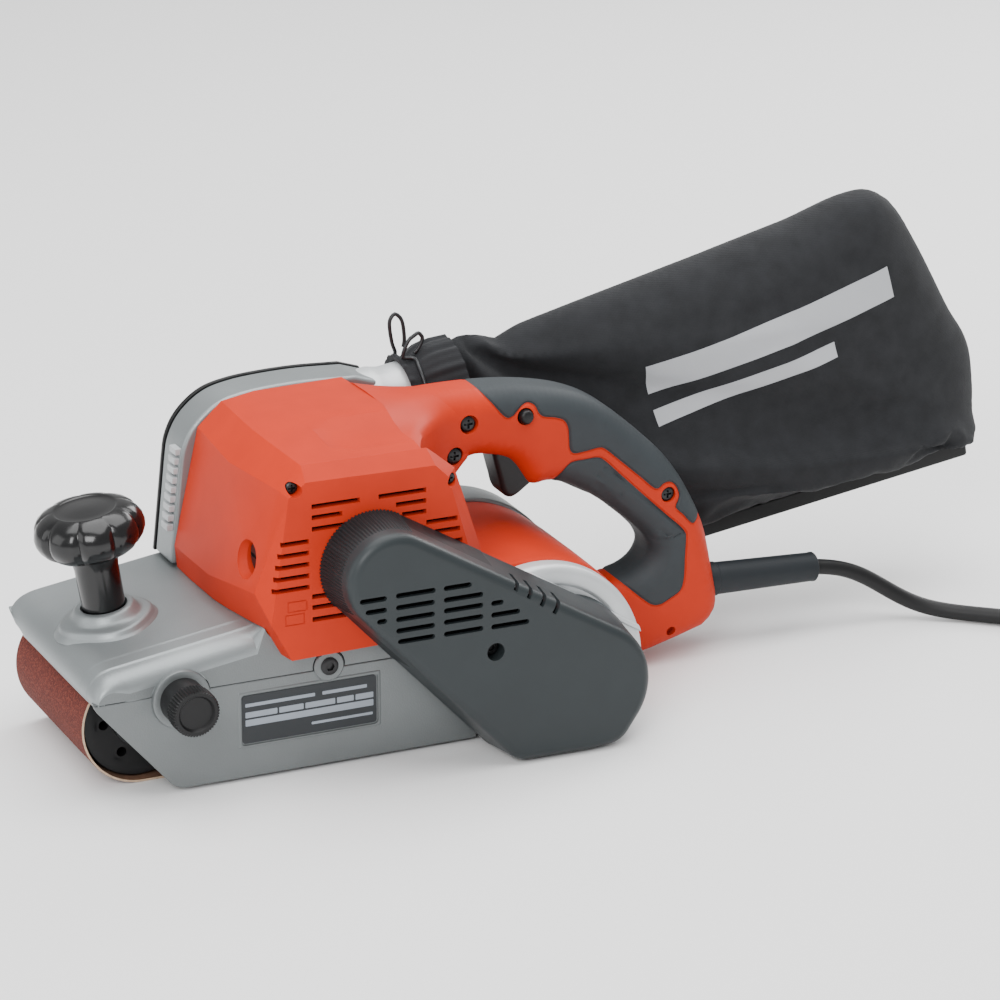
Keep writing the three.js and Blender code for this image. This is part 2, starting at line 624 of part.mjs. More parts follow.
function beltCover() {
  const floor = box(-60, 200, -130, -50, -60, COVER_FLOOR_Z);
  const shell = hull([
    ...lobePoints(COVER_LOBES, -4, COVER_Y), ...lobePoints(COVER_LOBES, -1, COVER_Y + 1.4),
    ...lobePoints(COVER_LOBES, 0.5, COVER_Y + 5), ...lobePoints(COVER_LOBES, 3, HOUSING_Y - GAP),
  ]);
  const skirt = cut(
    hull([...lobePoints(COVER_LOBES.slice(1), 3, HOUSING_Y - 1), ...lobePoints(COVER_LOBES.slice(1),
      3, WALL_Y - GAP)]),
    box(-60, 75.5, -90, -60, -60, 200),
  );
  const inside = hull([...lobePoints(COVER_LOBES, -2, COVER_Y + 3),
    ...lobePoints(COVER_LOBES, 0, HOUSING_Y)]);
  const skirtInside = hull([
    ...lobePoints([[112, 30, 31], [88, 20, 15]], 0, -84), ...lobePoints([[112, 30, 31], [88, 20, 15]],
      0, -60),
  ]);
  const innerFloor = box(-60, 200, -130, -50, -60, COVER_FLOOR_Z + 2.2);
  const hollow = cut(join(inside, skirtInside), innerFloor);
  const boss = disc(6.5, COVER_Y + 2, HOUSING_Y - GAP, 61.7, 63.7, 20);
  const screwHole = disc(4.6, COVER_Y - 2, COVER_Y + 10, 61.7, 63.7, 20);
  const shankHole = disc(2.4, COVER_Y - 2, -60, 61.7, 63.7, 16);
  const rows = [
    [[-10, 0], 101, 3], [[7.5, 28], 103, 5], [[33.5, 53], 103, 5], [[60, 74], 95, 3],
  ].flatMap(([[x0, x1], z, n]) => Array.from({ length: n }, (_, i) => [x0, x1, z - 5.6 * i]));
  const slots = rows.map(([x0, x1, z]) => box(x0, x1, COVER_Y - 1, COVER_Y + 4, z - 1.35, z + 1.35));
  const shellCut = cut(join(shell, skirt), floor, hollow);
  const bearingRoom = disc(13.6, -78, -60, PINION.x, PINION.z);
  return cut(join(shellCut, boss), screwHole, shankHole, bearingRoom, ...slots);
}

// ---------------------------------------------------------------- handle
const HANDLE_OUTER = [
  [62.5, 171], [74, 170.5], [96, 169], [113, 167.5], [135, 164], [158, 156.5], [181, 140.5], [205, 117],
  [222, 90], [230, 71], [236.5, 32], [235.5, 24], [228, 15], [190, 4.5], [164, 4.5],
];
const HANDLE_INNER = [
  [162.6, 41], [167, 52], [177, 55.5], [184, 60], [186, 68], [180.1, 79.2], [165.5, 95.3], [142.5, 108.7],
  [128.3, 109], [122.6, 112.6], [114.1, 124.8], [102.8, 128.6], [91.6, 130], [84, 123.7], [73, 112],
    [66.5, 92], [62.5, 92],
];
const RUBBER_T = 3.2;
const LOCK_BUTTON = { x: 119.5, z: 150, r: 3.9 };

// A strip of thickness t between a line of points and the same line moved away from a centre.
function strip(points, [cx, cz], t) {
  const moved = points.map(([x, z]) => {
    const d = Math.hypot(x - cx, z - cz);
    return [x + ((x - cx) / d) * t, z + ((z - cz) / d) * t];
  });
  return [...points, ...moved.reverse()];
}

const TOP_GRIP = HANDLE_OUTER.slice(3, 10);
const INNER_GRIP = HANDLE_INNER.slice(1, 8);

function gripTop(grow = 0) {
  return slab(strip(TOP_GRIP, [120, 60], -RUBBER_T - grow), -HANDLE_HALF - grow, HANDLE_HALF + grow);
}

function gripInner(grow = 0) {
  return slab(strip(INNER_GRIP, [130, 80], RUBBER_T + grow), -HANDLE_HALF - grow, HANDLE_HALF + grow);
}

const HANDLE_SCREWS = {
  handle_screw_upper: [88, 150],
  handle_screw_lower: [80, 134],
  handle_screw_rear: [201, 96],
};

function handleSide(y0, y1, near) {
  const outline = [...HANDLE_OUTER, ...HANDLE_INNER].reverse();
  let body = slab(outline, y0, y1);
  if (near) {
    const root = hull([
      [62.5, -34, 100], [62.5, -34, 158], [62.5, -17, 170], [62.5, -17, 92], [92, -17, 158], [92, -17, 136],
      [66, -34, 104], [66, -34, 156], [62.5, -5, 92], [62.5, -5, 170], [90, -5, 160], [90, -5, 136],
    ]);
    body = join(body, cut(root, box(0, 200, y1, 60, 0, 200)));
  }
  const switchRoom = box(90, 134, -10.6, 10.6, 136, 159);
  const triggerRoom = box(102.5, 134, -9.8, 9.8, 90, 137);
  const guardSeat = turnedAlong([[0, -16], [9.5, -16], [9.5, 10], [0, 10]],
    new THREE.Vector3(GUARD_START.x, 0, GUARD_START.z), new THREE.Vector3(1, 0, 0), 24);
  const buttonHole = disc(LOCK_BUTTON.r + 0.4, -40, -8, LOCK_BUTTON.x, LOCK_BUTTON.z, 20);
  const screws = Object.values(HANDLE_SCREWS).flatMap(([x, z]) =>
    near ? [disc(4.2, -40, -13, x, z, 16), disc(2.3, -40, 0, x, z, 12)] : [disc(2.3, -1, 9, x, z, 12)]);
  return cut(body, switchRoom, triggerRoom, guardSeat, buttonHole, gripTop(GAP), gripInner(GAP), ...screws);
}

function trigger() {
  const outline = [
    [104, 133], [103.2, 128], [105, 122], [111, 107], [114.5, 103.6], [119, 103.3], [128.5, 107.8],
      [131, 113], [131, 131],
  ];
  return slab(outline.reverse(), -9, 9);
}

// ---------------------------------------------------------------- knobs, buttons and screws
function frontKnob() {
  const { base, dir } = knobFrame();
  const body = turnedAlong([
    [0, 0], [10.8, 0], [11, 24], [13, 32], [19, 32.8], [25, 36], [28, 41.5], [28, 46.5], [25.5, 51.5],
      [18, 55.5],
    [0, 56.5],
  ], base, dir, 27);
  const q = new THREE.Quaternion().setFromUnitVectors(new THREE.Vector3(0, 0, 1), dir);
  const side = new THREE.Vector3();
  const scallops = Array.from({ length: 9 }, (_, i) => {
    const a = (i / 9) * 2 * Math.PI;
    side.set(Math.cos(a) * 32.1, Math.sin(a) * 32.1, 26).applyQuaternion(q);
    const start = base.clone().add(side);
    return turnedAlong([[0, 0], [6, 0], [6, 32], [0, 32]], start, dir, 8);
  });
  return cut(body, ...scallops, turnedAlong([[0, -3], [4.2, -3], [4.2, 18], [0, 18]], base, dir, 16));
}

function trackingKnob() {
  return turned([
    [0, -92.5], [8.6, -92.5], [9, -93.6], [11.4, -93.6], [12, -92.6], [12, -72], [11, -70.2], [2, -70.2],
      [2, -63], [0, -63],
  ], TRACK.x, TRACK.z, 32);
}

function screw(x, z, headY, r, length) {
  return turned([[0, headY], [r, headY], [r, headY + 2.6], [r * 0.5, headY + 2.6],
    [r * 0.5, headY + length], [0, headY + length]], x, z, 16);
}

// ---------------------------------------------------------------- cord
const CORD_ROUTE = [
  [298, 0, 34.6], [312, -1, 32.5], [327, -3, 26], [341, -7, 16], [355, -13, 7.6], [370, -22, 4.6],
    [386, -35, 4.6],
  [404, -50, 4.6], [421, -65, 4.6], [437, -80, 4.6],
];

function cordGuard() {
  const base = new THREE.Vector3(GUARD_START.x, 0, GUARD_START.z);
  const dir = new THREE.Vector3(1, 0, -0.04);
  return turnedAlong([
    [CORD_D / 2 + 0.1, -14], [8.6, -14], [8.6, 1], [8.3, 3], [7.9, GUARD_LENGTH],
      [CORD_D / 2 + 0.1, GUARD_LENGTH],
    [CORD_D / 2 + 0.1, -14],
  ], base, dir, 24);
}

function cord() {
  const curve = new THREE.CatmullRomCurve3(CORD_ROUTE.map((p) => new THREE.Vector3(...p)),
    false, "centripetal");
  return tube(curve, CORD_D / 2, 24, 5);
}

function cordCoil() {
  const rIn = COIL.inner - CORD_D / 2 - 0.5;
  const rOut = COIL.outer + CORD_D / 2 + 0.5;
  const h = COIL.layers * CORD_D + 1.2;
  const g = new THREE.LatheGeometry(
    [[rIn, 0.2], [rOut, 0.2], [rOut, h], [rIn, h], [rIn, 0.2]].map((p) => new THREE.Vector2(...p)), 40);
  return solid(g.rotateX(Math.PI / 2)).translate([COIL.x, COIL.y, 0]);
}

function cordPlug() {
  const x = COIL.x - 20;
  return join(
    box(x - 18, x + 18, COIL.y - 87, COIL.y - 67.5, 0.4, 20),
    box(x - 37, x - 17, COIL.y - 83.2, COIL.y - 71.2, 6, 14),
  );
}

// ---------------------------------------------------------------- assembly
add("frame_casting", frameCasting(), CAST);
add("side_plate", sidePlate(), CAST);
add("name_plate", box(-58.8, 13, WALL_Y + 0.1, WALL_Y + 0.6, 20, 45.5), BLACK);
add("sole_plate", box(-74, 74, -48, 48, 1.6, 3.2), STEEL);
add("cork_pad", box(-48, 66, -48, 38, 3.6, 8.6), [0x8a6a45, 0.9]);
add("sanding_belt", sandingBelt(), [0x7a3a34, 0.95]);
add("front_roller", frontRoller(), DARK_STEEL);
add("front_axle", disc(5.9, -49.2, 49.2, -AXLE_X, AXLE_Z, 20), STEEL);
add("front_fork", frontFork(), DARK_STEEL);
add("tension_slider", tensionSlider(), STEEL);
add("tension_spring", tensionSpring(), STEEL);
add("tension_lever", tensionLever(), STEEL);
add("drive_roller", driveRoller(), RUBBER);
add("drive_shaft", disc(6, -64.2, 45, AXLE_X, AXLE_Z, 24), STEEL);
add("roller_bearing", ring(6.3, 13, -61, -54.4, AXLE_X, AXLE_Z), STEEL);
const { pinionPhase, ringPhase } = meshAngles();
const degreesAt = (phase) => (-phase * 180) / Math.PI;
const about = (body, x, z, phase) =>
  body.translate([-x, 0, -z]).rotate([0, degreesAt(phase), 0]).translate([x, 0, z]);
add("ring_gear", about(ringGear(), AXLE_X, AXLE_Z, ringPhase), STEEL);
add("pinion_shaft", about(pinion(), PINION.x, PINION.z, pinionPhase), STEEL);
add("pinion_bearing", ring(4.9, 10, -75.7, -69.5, PINION.x, PINION.z), STEEL);
add("driven_pulley", pulley(DRIVEN_PULLEY_R, PINION.x, PINION.z, -91, -80.4, 4.9), CAST);
add("motor_pulley", pulley(MOTOR_PULLEY_R, MOTOR.x, MOTOR.z, -91, -80.4, 4.9), STEEL);
add("drive_belt", driveBelt(), BLACK);
add("gear_case", gearCase(), SILVER);
add("rear_fender", rearFender(), ORANGE);
add("dust_duct", dustDuct(), CAST);
add("motor_housing", motorHousing(), ORANGE);
add("stator", stator(), STEEL);
add("armature", armature(), STEEL);
add("commutator", ring(4.9, 13, -65, -48, MOTOR.x, MOTOR.z, 28), COPPER);
add("cooling_fan", fan(4, 16, 34, 10), BLACK);
add("dust_fan", fan(36.5, 49, 38, 8), CAST);
add("motor_bearing", ring(4.9, 9, -77.5, -70.5, MOTOR.x, MOTOR.z, 24), STEEL);
add("brush_holder_front", box(MOTOR.x - 30, MOTOR.x - 13.6, -61, -53, MOTOR.z - 4, MOTOR.z + 4), COPPER);
add("brush_holder_rear", box(MOTOR.x + 13.6, MOTOR.x + 30, -61, -53, MOTOR.z - 4, MOTOR.z + 4), COPPER);
add("dust_housing", dustHousing(), CAST);
add("dust_cover", slab(dustOutline(0.8).reverse(), 55.4, FAR_Y), BLACK);
add("dust_nozzle", dustNozzle(), SILVER);
add("dust_bag", dustBag(), CLOTH);
add("bag_slide_bar", bagBar(), BLACK);
add("bag_clip", bagClip(), DARK_STEEL);
add("belt_cover", beltCover(), CHARCOAL);
add("cover_screw", screw(61.7, 63.7, COVER_Y + 7, 4, 22), DARK_STEEL);
add("wall_screw", screw(-12.4, 54.5, WALL_Y - 1.6, 4.6, 5.2), DARK_STEEL);
add("handle_left", handleSide(-HANDLE_HALF, -GAP / 2, true), ORANGE);
add("handle_right", handleSide(GAP / 2, HANDLE_HALF, false), ORANGE);
add("grip_top", gripTop(), RUBBER);
add("grip_inner", gripInner(), RUBBER);
add("trigger", trigger(), BLACK);
add("lock_button", disc(LOCK_BUTTON.r, -21, -13.4, LOCK_BUTTON.x, LOCK_BUTTON.z, 20), BLACK);
add("switch_body", box(92, 132, -10, 10, 139.5, 157), BLACK);
for (const [name, [x, z]] of Object.entries(HANDLE_SCREWS)) add(name, screw(x, z, -16.5, 3.8, 14),
  DARK_STEEL);
for (const [name, [x, z]] of Object.entries(SCREW_SPOTS)) add(name, screw(x, z, -73.8, 3, 5.4), DARK_STEEL);
add("front_knob", frontKnob(), BLACK);
add("tracking_knob", trackingKnob(), DARK_STEEL);
add("cord_guard", cordGuard(), BLACK);
add("cord", cord(), BLACK);
add("cord_coil", cordCoil(), BLACK);
add("cord_plug", cordPlug(), BLACK);

export default root;
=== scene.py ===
"""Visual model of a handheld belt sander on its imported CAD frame.

Lengths here are millimetres, and meshes are stored in metres. Y runs across, with the near side at -Y.
"""

import math

import bmesh
import bpy
import numpy as np
from mathutils import Matrix, Vector, geometry


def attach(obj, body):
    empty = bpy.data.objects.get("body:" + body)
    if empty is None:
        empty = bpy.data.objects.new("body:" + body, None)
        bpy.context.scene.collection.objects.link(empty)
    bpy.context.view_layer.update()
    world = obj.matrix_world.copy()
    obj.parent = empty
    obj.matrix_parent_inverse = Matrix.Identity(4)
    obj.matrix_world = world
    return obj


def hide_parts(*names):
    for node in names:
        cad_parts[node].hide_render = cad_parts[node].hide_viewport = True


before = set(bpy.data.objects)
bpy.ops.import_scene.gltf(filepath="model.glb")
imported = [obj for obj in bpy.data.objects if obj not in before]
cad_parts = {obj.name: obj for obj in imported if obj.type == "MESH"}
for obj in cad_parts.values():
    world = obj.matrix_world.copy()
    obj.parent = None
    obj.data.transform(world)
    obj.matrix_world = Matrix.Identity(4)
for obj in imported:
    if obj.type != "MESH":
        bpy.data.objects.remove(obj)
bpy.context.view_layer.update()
MM = 0.001
BODY = "sander_body"

# ------------------------------------------------------------------ shared sizes
AXLE_X, AXLE_Z = 104.43, 31.2
BELT_R, LOOP_R, BELT_HALF = 31.2, 30.0, 50.0
WALL_Y, FAR_Y = -71.0, 58.0
SEAM_Z = 53.0
HOUSING_Y, COVER_Y = -80.0, -110.0
MOTOR = (10.0, 107.0)
KNOB = Vector((-106.8, -7.0, 77.0))
KNOB_TILT = math.radians(9)
KNOB_AXIS = Vector((-math.sin(KNOB_TILT), 0, math.cos(KNOB_TILT)))
TRACK = (-91.0, 50.0)
NOZZLE = Vector((63.4, 44.0, 147.5))
NOZZLE_TILT = math.radians(9)
NOZZLE_AXIS = Vector((math.cos(NOZZLE_TILT), 0, math.sin(NOZZLE_TILT)))
NOZZLE_R = 17.0
BAG_Y = 56.0
CORD_D = 8.5
GUARD_TIP = Vector((297.4, 0.0, 34.6))
COIL = Vector((414.0, -150.0, 0.0))
COVER_SCREW, WALL_SCREW = (61.2, 63.8), (-12.4, 54.5)
HOUSING_SCREWS = ((-32, 152), (52, 145))
HANDLE_SCREWS = ((88, 150), (80, 134))
REAR_SCREW = (201.6, 95.4)
LOCK_BUTTON = (119.5, 150)


def deck_at(x):
    """Height of the sloping deck."""
    return 70.6 + 0.145 * (x + AXLE_X)


def put(name, data):
    """A new object in the scene."""
    obj = bpy.data.objects.new(name, data)
    bpy.context.scene.collection.objects.link(obj)
    return obj


# ------------------------------------------------------------------ camera
def make_camera():
    right = Vector((0.9114, -0.4115, 0.0))
    up = Vector((0.1401, 0.3102, 0.9403))
    data = bpy.data.cameras.new("camera")
    data.lens, data.sensor_width = 169.2, 36.0
    data.clip_start, data.clip_end = 0.1, 50.0
    cam = put("camera", data)
    turn = Matrix((right, up, right.cross(up))).transposed().to_4x4()
    cam.matrix_world = Matrix.Translation(Vector((-827.4, -2082.8, 927.1)) * MM) @ turn
    bpy.context.scene.camera = cam


make_camera()


# ------------------------------------------------------------------ materials
def feed(mat, node, inputs):
    """Gives each input of a node a value, or joins it to a socket."""
    for key, value in inputs.items():
        if isinstance(value, bpy.types.NodeSocket):
            mat.node_tree.links.new(value, node.inputs[key])
        else:
            node.inputs[key].default_value = value


def add_node(mat, kind, inputs, **settings):
    node = mat.node_tree.nodes.new("ShaderNode" + kind)
    for key, value in settings.items():
        setattr(node, key, value)
    feed(mat, node, inputs)
    return node


def shader_of(mat):
    return mat.node_tree.nodes["Principled BSDF"]


def place_of(mat):
    return mat.node_tree.nodes["Texture Coordinate"].outputs["Object"]


def blend_color(mat, share, color):
    """Mixes a colour into the material's own."""
    own = shader_of(mat).inputs["Base Color"].links[0].from_socket
    mix = add_node(mat, "Mix", {"Factor": share, "A": own, "B": color}, data_type="RGBA")
    feed(mat, shader_of(mat), {"Base Color": mix.outputs["Result"]})


def material(name, color, rough=0.5, metal=0.0, mottle=0.06, mottle_scale=60.0, grain=2500.0, bump=0.05,
             depth=0.0002, rough_vary=0.06, coat=0.0, sheen=0.0, spec=0.5, stretch=None):
    """A colour mottled at mottle_scale, with roughness and bumps at the scale of its grain."""
    mat = bpy.data.materials.new(name)
    mat.use_nodes = True
    place = add_node(mat, "TexCoord", {}).outputs["Object"]
    if stretch:
        place = add_node(mat, "Mapping", {"Vector": place, "Scale": stretch}).outputs["Vector"]
    coarse = add_node(mat, "TexNoise", {"Scale": mottle_scale, "Detail": 5.0, "Vector": place}).outputs["Fac"]
    fine = add_node(mat, "TexNoise", {"Scale": grain, "Detail": 3.0, "Vector": place}).outputs["Fac"]
    ramp = add_node(mat, "ValToRGB", {"Fac": coarse})
    for stop, at, gain in zip(ramp.color_ramp.elements, (0.3, 0.7), (1 - mottle, 1 + mottle)):
        stop.position = at
        stop.color = [min(max(c * gain, 0.0), 1.0) for c in color] + [1]
    low, high = max(0.02, rough - rough_vary), min(1.0, rough + rough_vary)
    spread = add_node(mat, "MapRange", {"Value": fine, "To Min": low, "To Max": high})
    look = {
        "Base Color": ramp.outputs["Color"], "Roughness": spread.outputs["Result"], "Metallic": metal,
        "Specular IOR Level": spec, "Coat Weight": coat, "Coat Roughness": 0.12, "Sheen Weight": sheen,
    }
    if bump:
        relief = add_node(mat, "Bump", {"Strength": bump, "Distance": depth, "Height": fine})
        look["Normal"] = relief.outputs["Normal"]
    feed(mat, shader_of(mat), look)
    return mat


def cloth_material(name, color):
    """A plain weave: two crossing waves that push the surface in and out, over a faint mottle."""
    mat = material(name, color, rough=0.85, mottle=0.18, mottle_scale=90, grain=900, bump=0, spec=0.2,
                   sheen=0.04)
    thread = {"Scale": 420.0, "Distortion": 0.6, "Vector": place_of(mat)}
    waves = [add_node(mat, "TexWave", thread, bands_direction=d).outputs["Fac"] for d in ("X", "Z")]
    weave = add_node(mat, "Math", dict(enumerate(waves)), operation="MAXIMUM").outputs[0]
    relief = add_node(mat, "Bump", {"Strength": 0.35, "Distance": 0.0003, "Height": weave})
    feed(mat, shader_of(mat), {"Normal": relief.outputs["Normal"]})
    return mat


def add_bars(mat, bars, origin, slope, color, before_y):
    """Plain pale bars printed on the side of the cloth that faces -Y.

    A bar is (start, end, low, high), along and across the slope.
    """
    place = add_node(mat, "SeparateXYZ", {"Vector": place_of(mat)}).outputs

    def calc(operation, *values):
        return add_node(mat, "Math", dict(enumerate(values)), operation=operation).outputs[0]

    def between(value, low, high):
        return calc("COMPARE", value, (low + high) / 2 * MM, (high - low) / 2 * MM)

    cos, sin = math.cos(slope), math.sin(slope)
    x = calc("SUBTRACT", place["X"], origin[0] * MM)
    z = calc("SUBTRACT", place["Z"], origin[1] * MM)
    along = calc("MULTIPLY_ADD", x, cos, calc("MULTIPLY", z, sin))
    across = calc("MULTIPLY_ADD", z, cos, calc("MULTIPLY", x, -sin))
    mask = None
    for start, end, low, high in bars:
        bar = calc("MULTIPLY", between(along, start, end), between(across, low, high))
        mask = bar if mask is None else calc("MAXIMUM", mask, bar)
    near = calc("LESS_THAN", place["Y"], before_y * MM)
    blend_color(mat, calc("MULTIPLY", mask, near), [*color, 1])


def grit_material(name, base, dark, light):
    """Coated abrasive: fine bright and dark grains set in resin."""
    mat = material(name, base, rough=0.85, mottle=0.08, mottle_scale=35, grain=2200, bump=0.9, depth=0.0005,
                   spec=0.3)
    grains = add_node(mat, "TexVoronoi", {"Scale": 1500.0, "Vector": place_of(mat)})
    ramp = add_node(mat, "ValToRGB", {"Fac": grains.outputs["Color"]})
    stops = ramp.color_ramp.elements
    stops[0].position, stops[0].color = 0.25, [*dark, 1]
    stops[1].position, stops[1].color = 0.95, [*light, 1]
    stops.new(0.6).color = [*base, 1]
    blend_color(mat, 0.55, ramp.outputs["Color"])
    return mat


M = {
    "orange": material("orange", (0.47, 0.028, 0.008), 0.5, bump=0.12, depth=0.00015, mottle=0.04, spec=0.12),
    "rubber": material("rubber", (0.032, 0.038, 0.042), 0.6, bump=0.25, depth=0.0002, mottle=0.07, spec=0.22),
    "charcoal": material("charcoal", (0.019, 0.024, 0.026), 0.42, bump=0.15, depth=0.00012, mottle=0.05,
                         spec=0.3),
    "charcoal_side": material("charcoal_side", (0.010, 0.013, 0.0145), 0.5, bump=0.5, depth=0.0003,
                              mottle=0.25,
                              mottle_scale=160, grain=420, stretch=(1.0, 0.08, 1.0), spec=0.25),
    "cast": material("cast", (0.245, 0.265, 0.27), 0.42, metal=0.6, bump=0.35, depth=0.00025, mottle=0.05,
                     mottle_scale=25, grain=1400, rough_vary=0.1, spec=0.4),
    "cast_dull": material("cast_dull", (0.22, 0.235, 0.24), 0.5, metal=0.45, bump=0.3, depth=0.00025,
                          mottle=0.06),
    "silver": material("silver", (0.56, 0.58, 0.59), 0.38, metal=0.3, bump=0.15, depth=0.00015, mottle=0.03),
    "steel": material("steel", (0.42, 0.43, 0.44), 0.3, metal=1.0, bump=0.1, mottle=0.06, stretch=(1, 9, 1)),
    "dark_steel": material("dark_steel", (0.030, 0.031, 0.033), 0.35, metal=0.6, bump=0.08, mottle=0.15),
    "screw": material("screw", (0.012, 0.012, 0.013), 0.32, metal=0.35, bump=0.05, mottle=0.15),
    # A darker copy of cast for the near faces of the frame wall and side plate: painted shade.
    "cast_painted_shade": material("cast_painted_shade", (0.165, 0.178, 0.180), 0.45, metal=0.55, bump=0.45, depth=0.00025,
                          mottle=0.07,
                          mottle_scale=18, grain=1200, rough_vary=0.1, spec=0.4),
    "black": material("black", (0.0055, 0.0055, 0.006), 0.42, bump=0.15, mottle=0.12, spec=0.3),
    "black_matte": material("black_matte", (0.003, 0.003, 0.0032), 0.75, bump=0.2, mottle=0.15, spec=0.1),
    "black_gloss": material("black_gloss", (0.004, 0.004, 0.0045), 0.2, bump=0.02, mottle=0.1, coat=0.15,
                            rough_vary=0.03, spec=0.4),
    "trigger": material("trigger", (0.008, 0.009, 0.010), 0.42, bump=0.12, mottle=0.08, spec=0.3),
    "copper": material("copper", (0.62, 0.30, 0.16), 0.3, metal=1.0, bump=0.1, mottle=0.1),
    "cork": material("cork", (0.42, 0.27, 0.14), 0.9, bump=0.8, depth=0.0006, mottle=0.35, mottle_scale=500),
    "belt_edge": material("belt_edge", (0.50, 0.36, 0.25), 0.85, bump=0.3, mottle=0.2, mottle_scale=400),
    "belt_back": material("belt_back", (0.16, 0.08, 0.045), 0.85, bump=0.4, mottle=0.2, mottle_scale=300),
    "label": material("label", (0.022, 0.025, 0.028), 0.35, bump=0.03, mottle=0.05, spec=0.3),
    "label_pale": material("label_pale", (0.26, 0.29, 0.33), 0.4, bump=0.03, mottle=0.04, spec=0.3),
    "white_grille": material("white_grille", (0.42, 0.44, 0.45), 0.45, bump=0.2, mottle=0.05),
    "cord": material("cord", (0.006, 0.006, 0.0065), 0.5, bump=0.2, mottle=0.12, spec=0.3),
    "guard": material("guard", (0.014, 0.017, 0.020), 0.55, bump=0.2, mottle=0.08, spec=0.25),
    "bag": cloth_material("bag", (0.0170, 0.0178, 0.0198)),
    "grit": grit_material("grit", (0.125, 0.022, 0.014), (0.04, 0.007, 0.005), (0.26, 0.06, 0.04)),
}

add_bars(M["bag"], [(0, 150, 22, 40), (0, 108, 4, 13)], (222, 110), math.radians(14), (0.42, 0.43, 0.45),
         BAG_Y)


# ------------------------------------------------------------------ mesh tools
def build(name, verts, faces, merge=True):
    """A mesh object of points and faces, with its faces turned outward."""
    mesh = bpy.data.meshes.new(name)
    mesh.from_pydata([[c * MM for c in v] for v in verts], [], [list(f) for f in faces])
    bm = bmesh.new()
    bm.from_mesh(mesh)
    if merge:
        bmesh.ops.remove_doubles(bm, verts=bm.verts, dist=1e-6)
        bmesh.ops.dissolve_degenerate(bm, edges=bm.edges, dist=1e-7)
    bmesh.ops.recalc_face_normals(bm, faces=bm.faces)
    bm.to_mesh(mesh)
    bm.free()
    return put(name, mesh)


def settle(obj):
    """Makes the result of obj's modifiers its own mesh."""
    mesh = bpy.data.meshes.new_from_object(obj.evaluated_get(bpy.context.evaluated_depsgraph_get()))
    old = obj.data
    obj.modifiers.clear()
    obj.data = mesh
    bpy.data.meshes.remove(old)
    mesh.name = obj.name
    return obj


def bevel(obj, width, segments=3, angle=28.0):
    mod = obj.modifiers.new("bevel", "BEVEL")
    mod.width, mod.segments = width * MM, segments
    mod.limit_method, mod.angle_limit = "ANGLE", math.radians(angle)
    mod.miter_outer = "MITER_ARC"
    return settle(obj)


def remove(obj):
    mesh = obj.data
    bpy.data.objects.remove(obj)
    bpy.data.meshes.remove(mesh)


def join(objs, name):
    """One mesh of several, which stay as separate shells of it."""
    bm = bmesh.new()
    for o in objs:
        bm.from_mesh(o.data)
    first, *others = objs
    bm.to_mesh(first.data)
    bm.free()
    for o in others:
        remove(o)
    first.name = first.data.name = name
    return first


def boolean(obj, tools, operation="DIFFERENCE"):
    for tool in tools:
        mod = obj.modifiers.new("cut", "BOOLEAN")
        mod.operation, mod.solver, mod.object = operation, "EXACT", tool
        settle(obj)
        remove(tool)
    return obj


def carve(obj, tools):
    """Cuts all the tools out of obj at once."""
    return boolean(obj, [join(tools, "cutters")])


def dress(obj, mat, body=BODY, replaces=(), smooth=35.0, weighted=True):
    """Gives a finished mesh its material, its body and its shading."""
    mesh = obj.data
    mesh.materials.clear()
    mesh.materials.append(M[mat])
    mesh.shade_smooth()
    mesh.set_sharp_from_angle(angle=math.radians(smooth))
    if weighted:
        mod = obj.modifiers.new("shading", "WEIGHTED_NORMAL")
        mod.keep_sharp = True
        mod.weight = 50
    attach(obj, body)
    if replaces:
        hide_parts(*([replaces] if isinstance(replaces, str) else replaces))
    return obj


def prism(name, outline, y0, y1):
    """An outline in X and Z drawn along Y."""
    n = len(outline)
    verts = [(x, y0, z) for x, z in outline] + [(x, y1, z) for x, z in outline]
    sides = [(i, (i + 1) % n, n + (i + 1) % n, n + i) for i in range(n)]
    return build(name, verts, [list(range(n)), list(range(n, 2 * n)), *sides], merge=False)


def box(name, x0, x1, y0, y1, z0, z1):
    return prism(name, [(x0, z0), (x1, z0), (x1, z1), (x0, z1)], y0, y1)


def loft(name, rings, caps=True, merge=False):
    """A skin over rings of points, each with as many points as the next."""
    n = len(rings[0])
    verts = [p for ring in rings for p in ring]
    faces = [
        (k * n + i, k * n + (i + 1) % n, (k + 1) * n + (i + 1) % n, (k + 1) * n + i)
        for k in range(len(rings) - 1) for i in range(n)
    ]
    if caps:
        faces += [list(range(n)), list(range((len(rings) - 1) * n, len(rings) * n))]
    return build(name, verts, faces, merge)


def frame_of(direction):
    """Two unit vectors square to direction."""
    d = Vector(direction).normalized()
    side = d.cross(Vector((0, 0, 1)) if abs(d.z) < 0.9 else Vector((0, 1, 0))).normalized()
    return d, side, d.cross(side).normalized()


def turned(name, profile, base, direction, segments=64, shape=None):
    """A lathe: profile holds (radius, place along the axis). shape(angle, index) scales a radius."""
    d, u, v = frame_of(direction)
    base = Vector(base)
    verts, faces, rows = [], [], []
    for k, (r, t) in enumerate(profile):
        if r <= 1e-6:
            rows.append([len(verts)] * segments)
            verts.append(base + d * t)
            continue
        row = []
        for i in range(segments):
            a = 2 * math.pi * i / segments
            rr = r * (shape(a, k) if shape else 1.0)
            row.append(len(verts))
            verts.append(base + d * t + (u * math.cos(a) + v * math.sin(a)) * rr)
        rows.append(row)
    for a, b in zip(rows, rows[1:]):
        for i in range(segments):
            j = (i + 1) % segments
            face = list(dict.fromkeys((a[i], a[j], b[j], b[i])))
            if len(face) > 2:
                faces.append(face)
    return build(name, verts, faces)


def lathe(name, profile, at, segments=64, shape=None):
    """A lathe about a line along Y: profile holds (radius, y), and at is its place in X and Z."""
    return turned(name, profile, (at[0], 0, at[1]), (0, 1, 0), segments, shape)


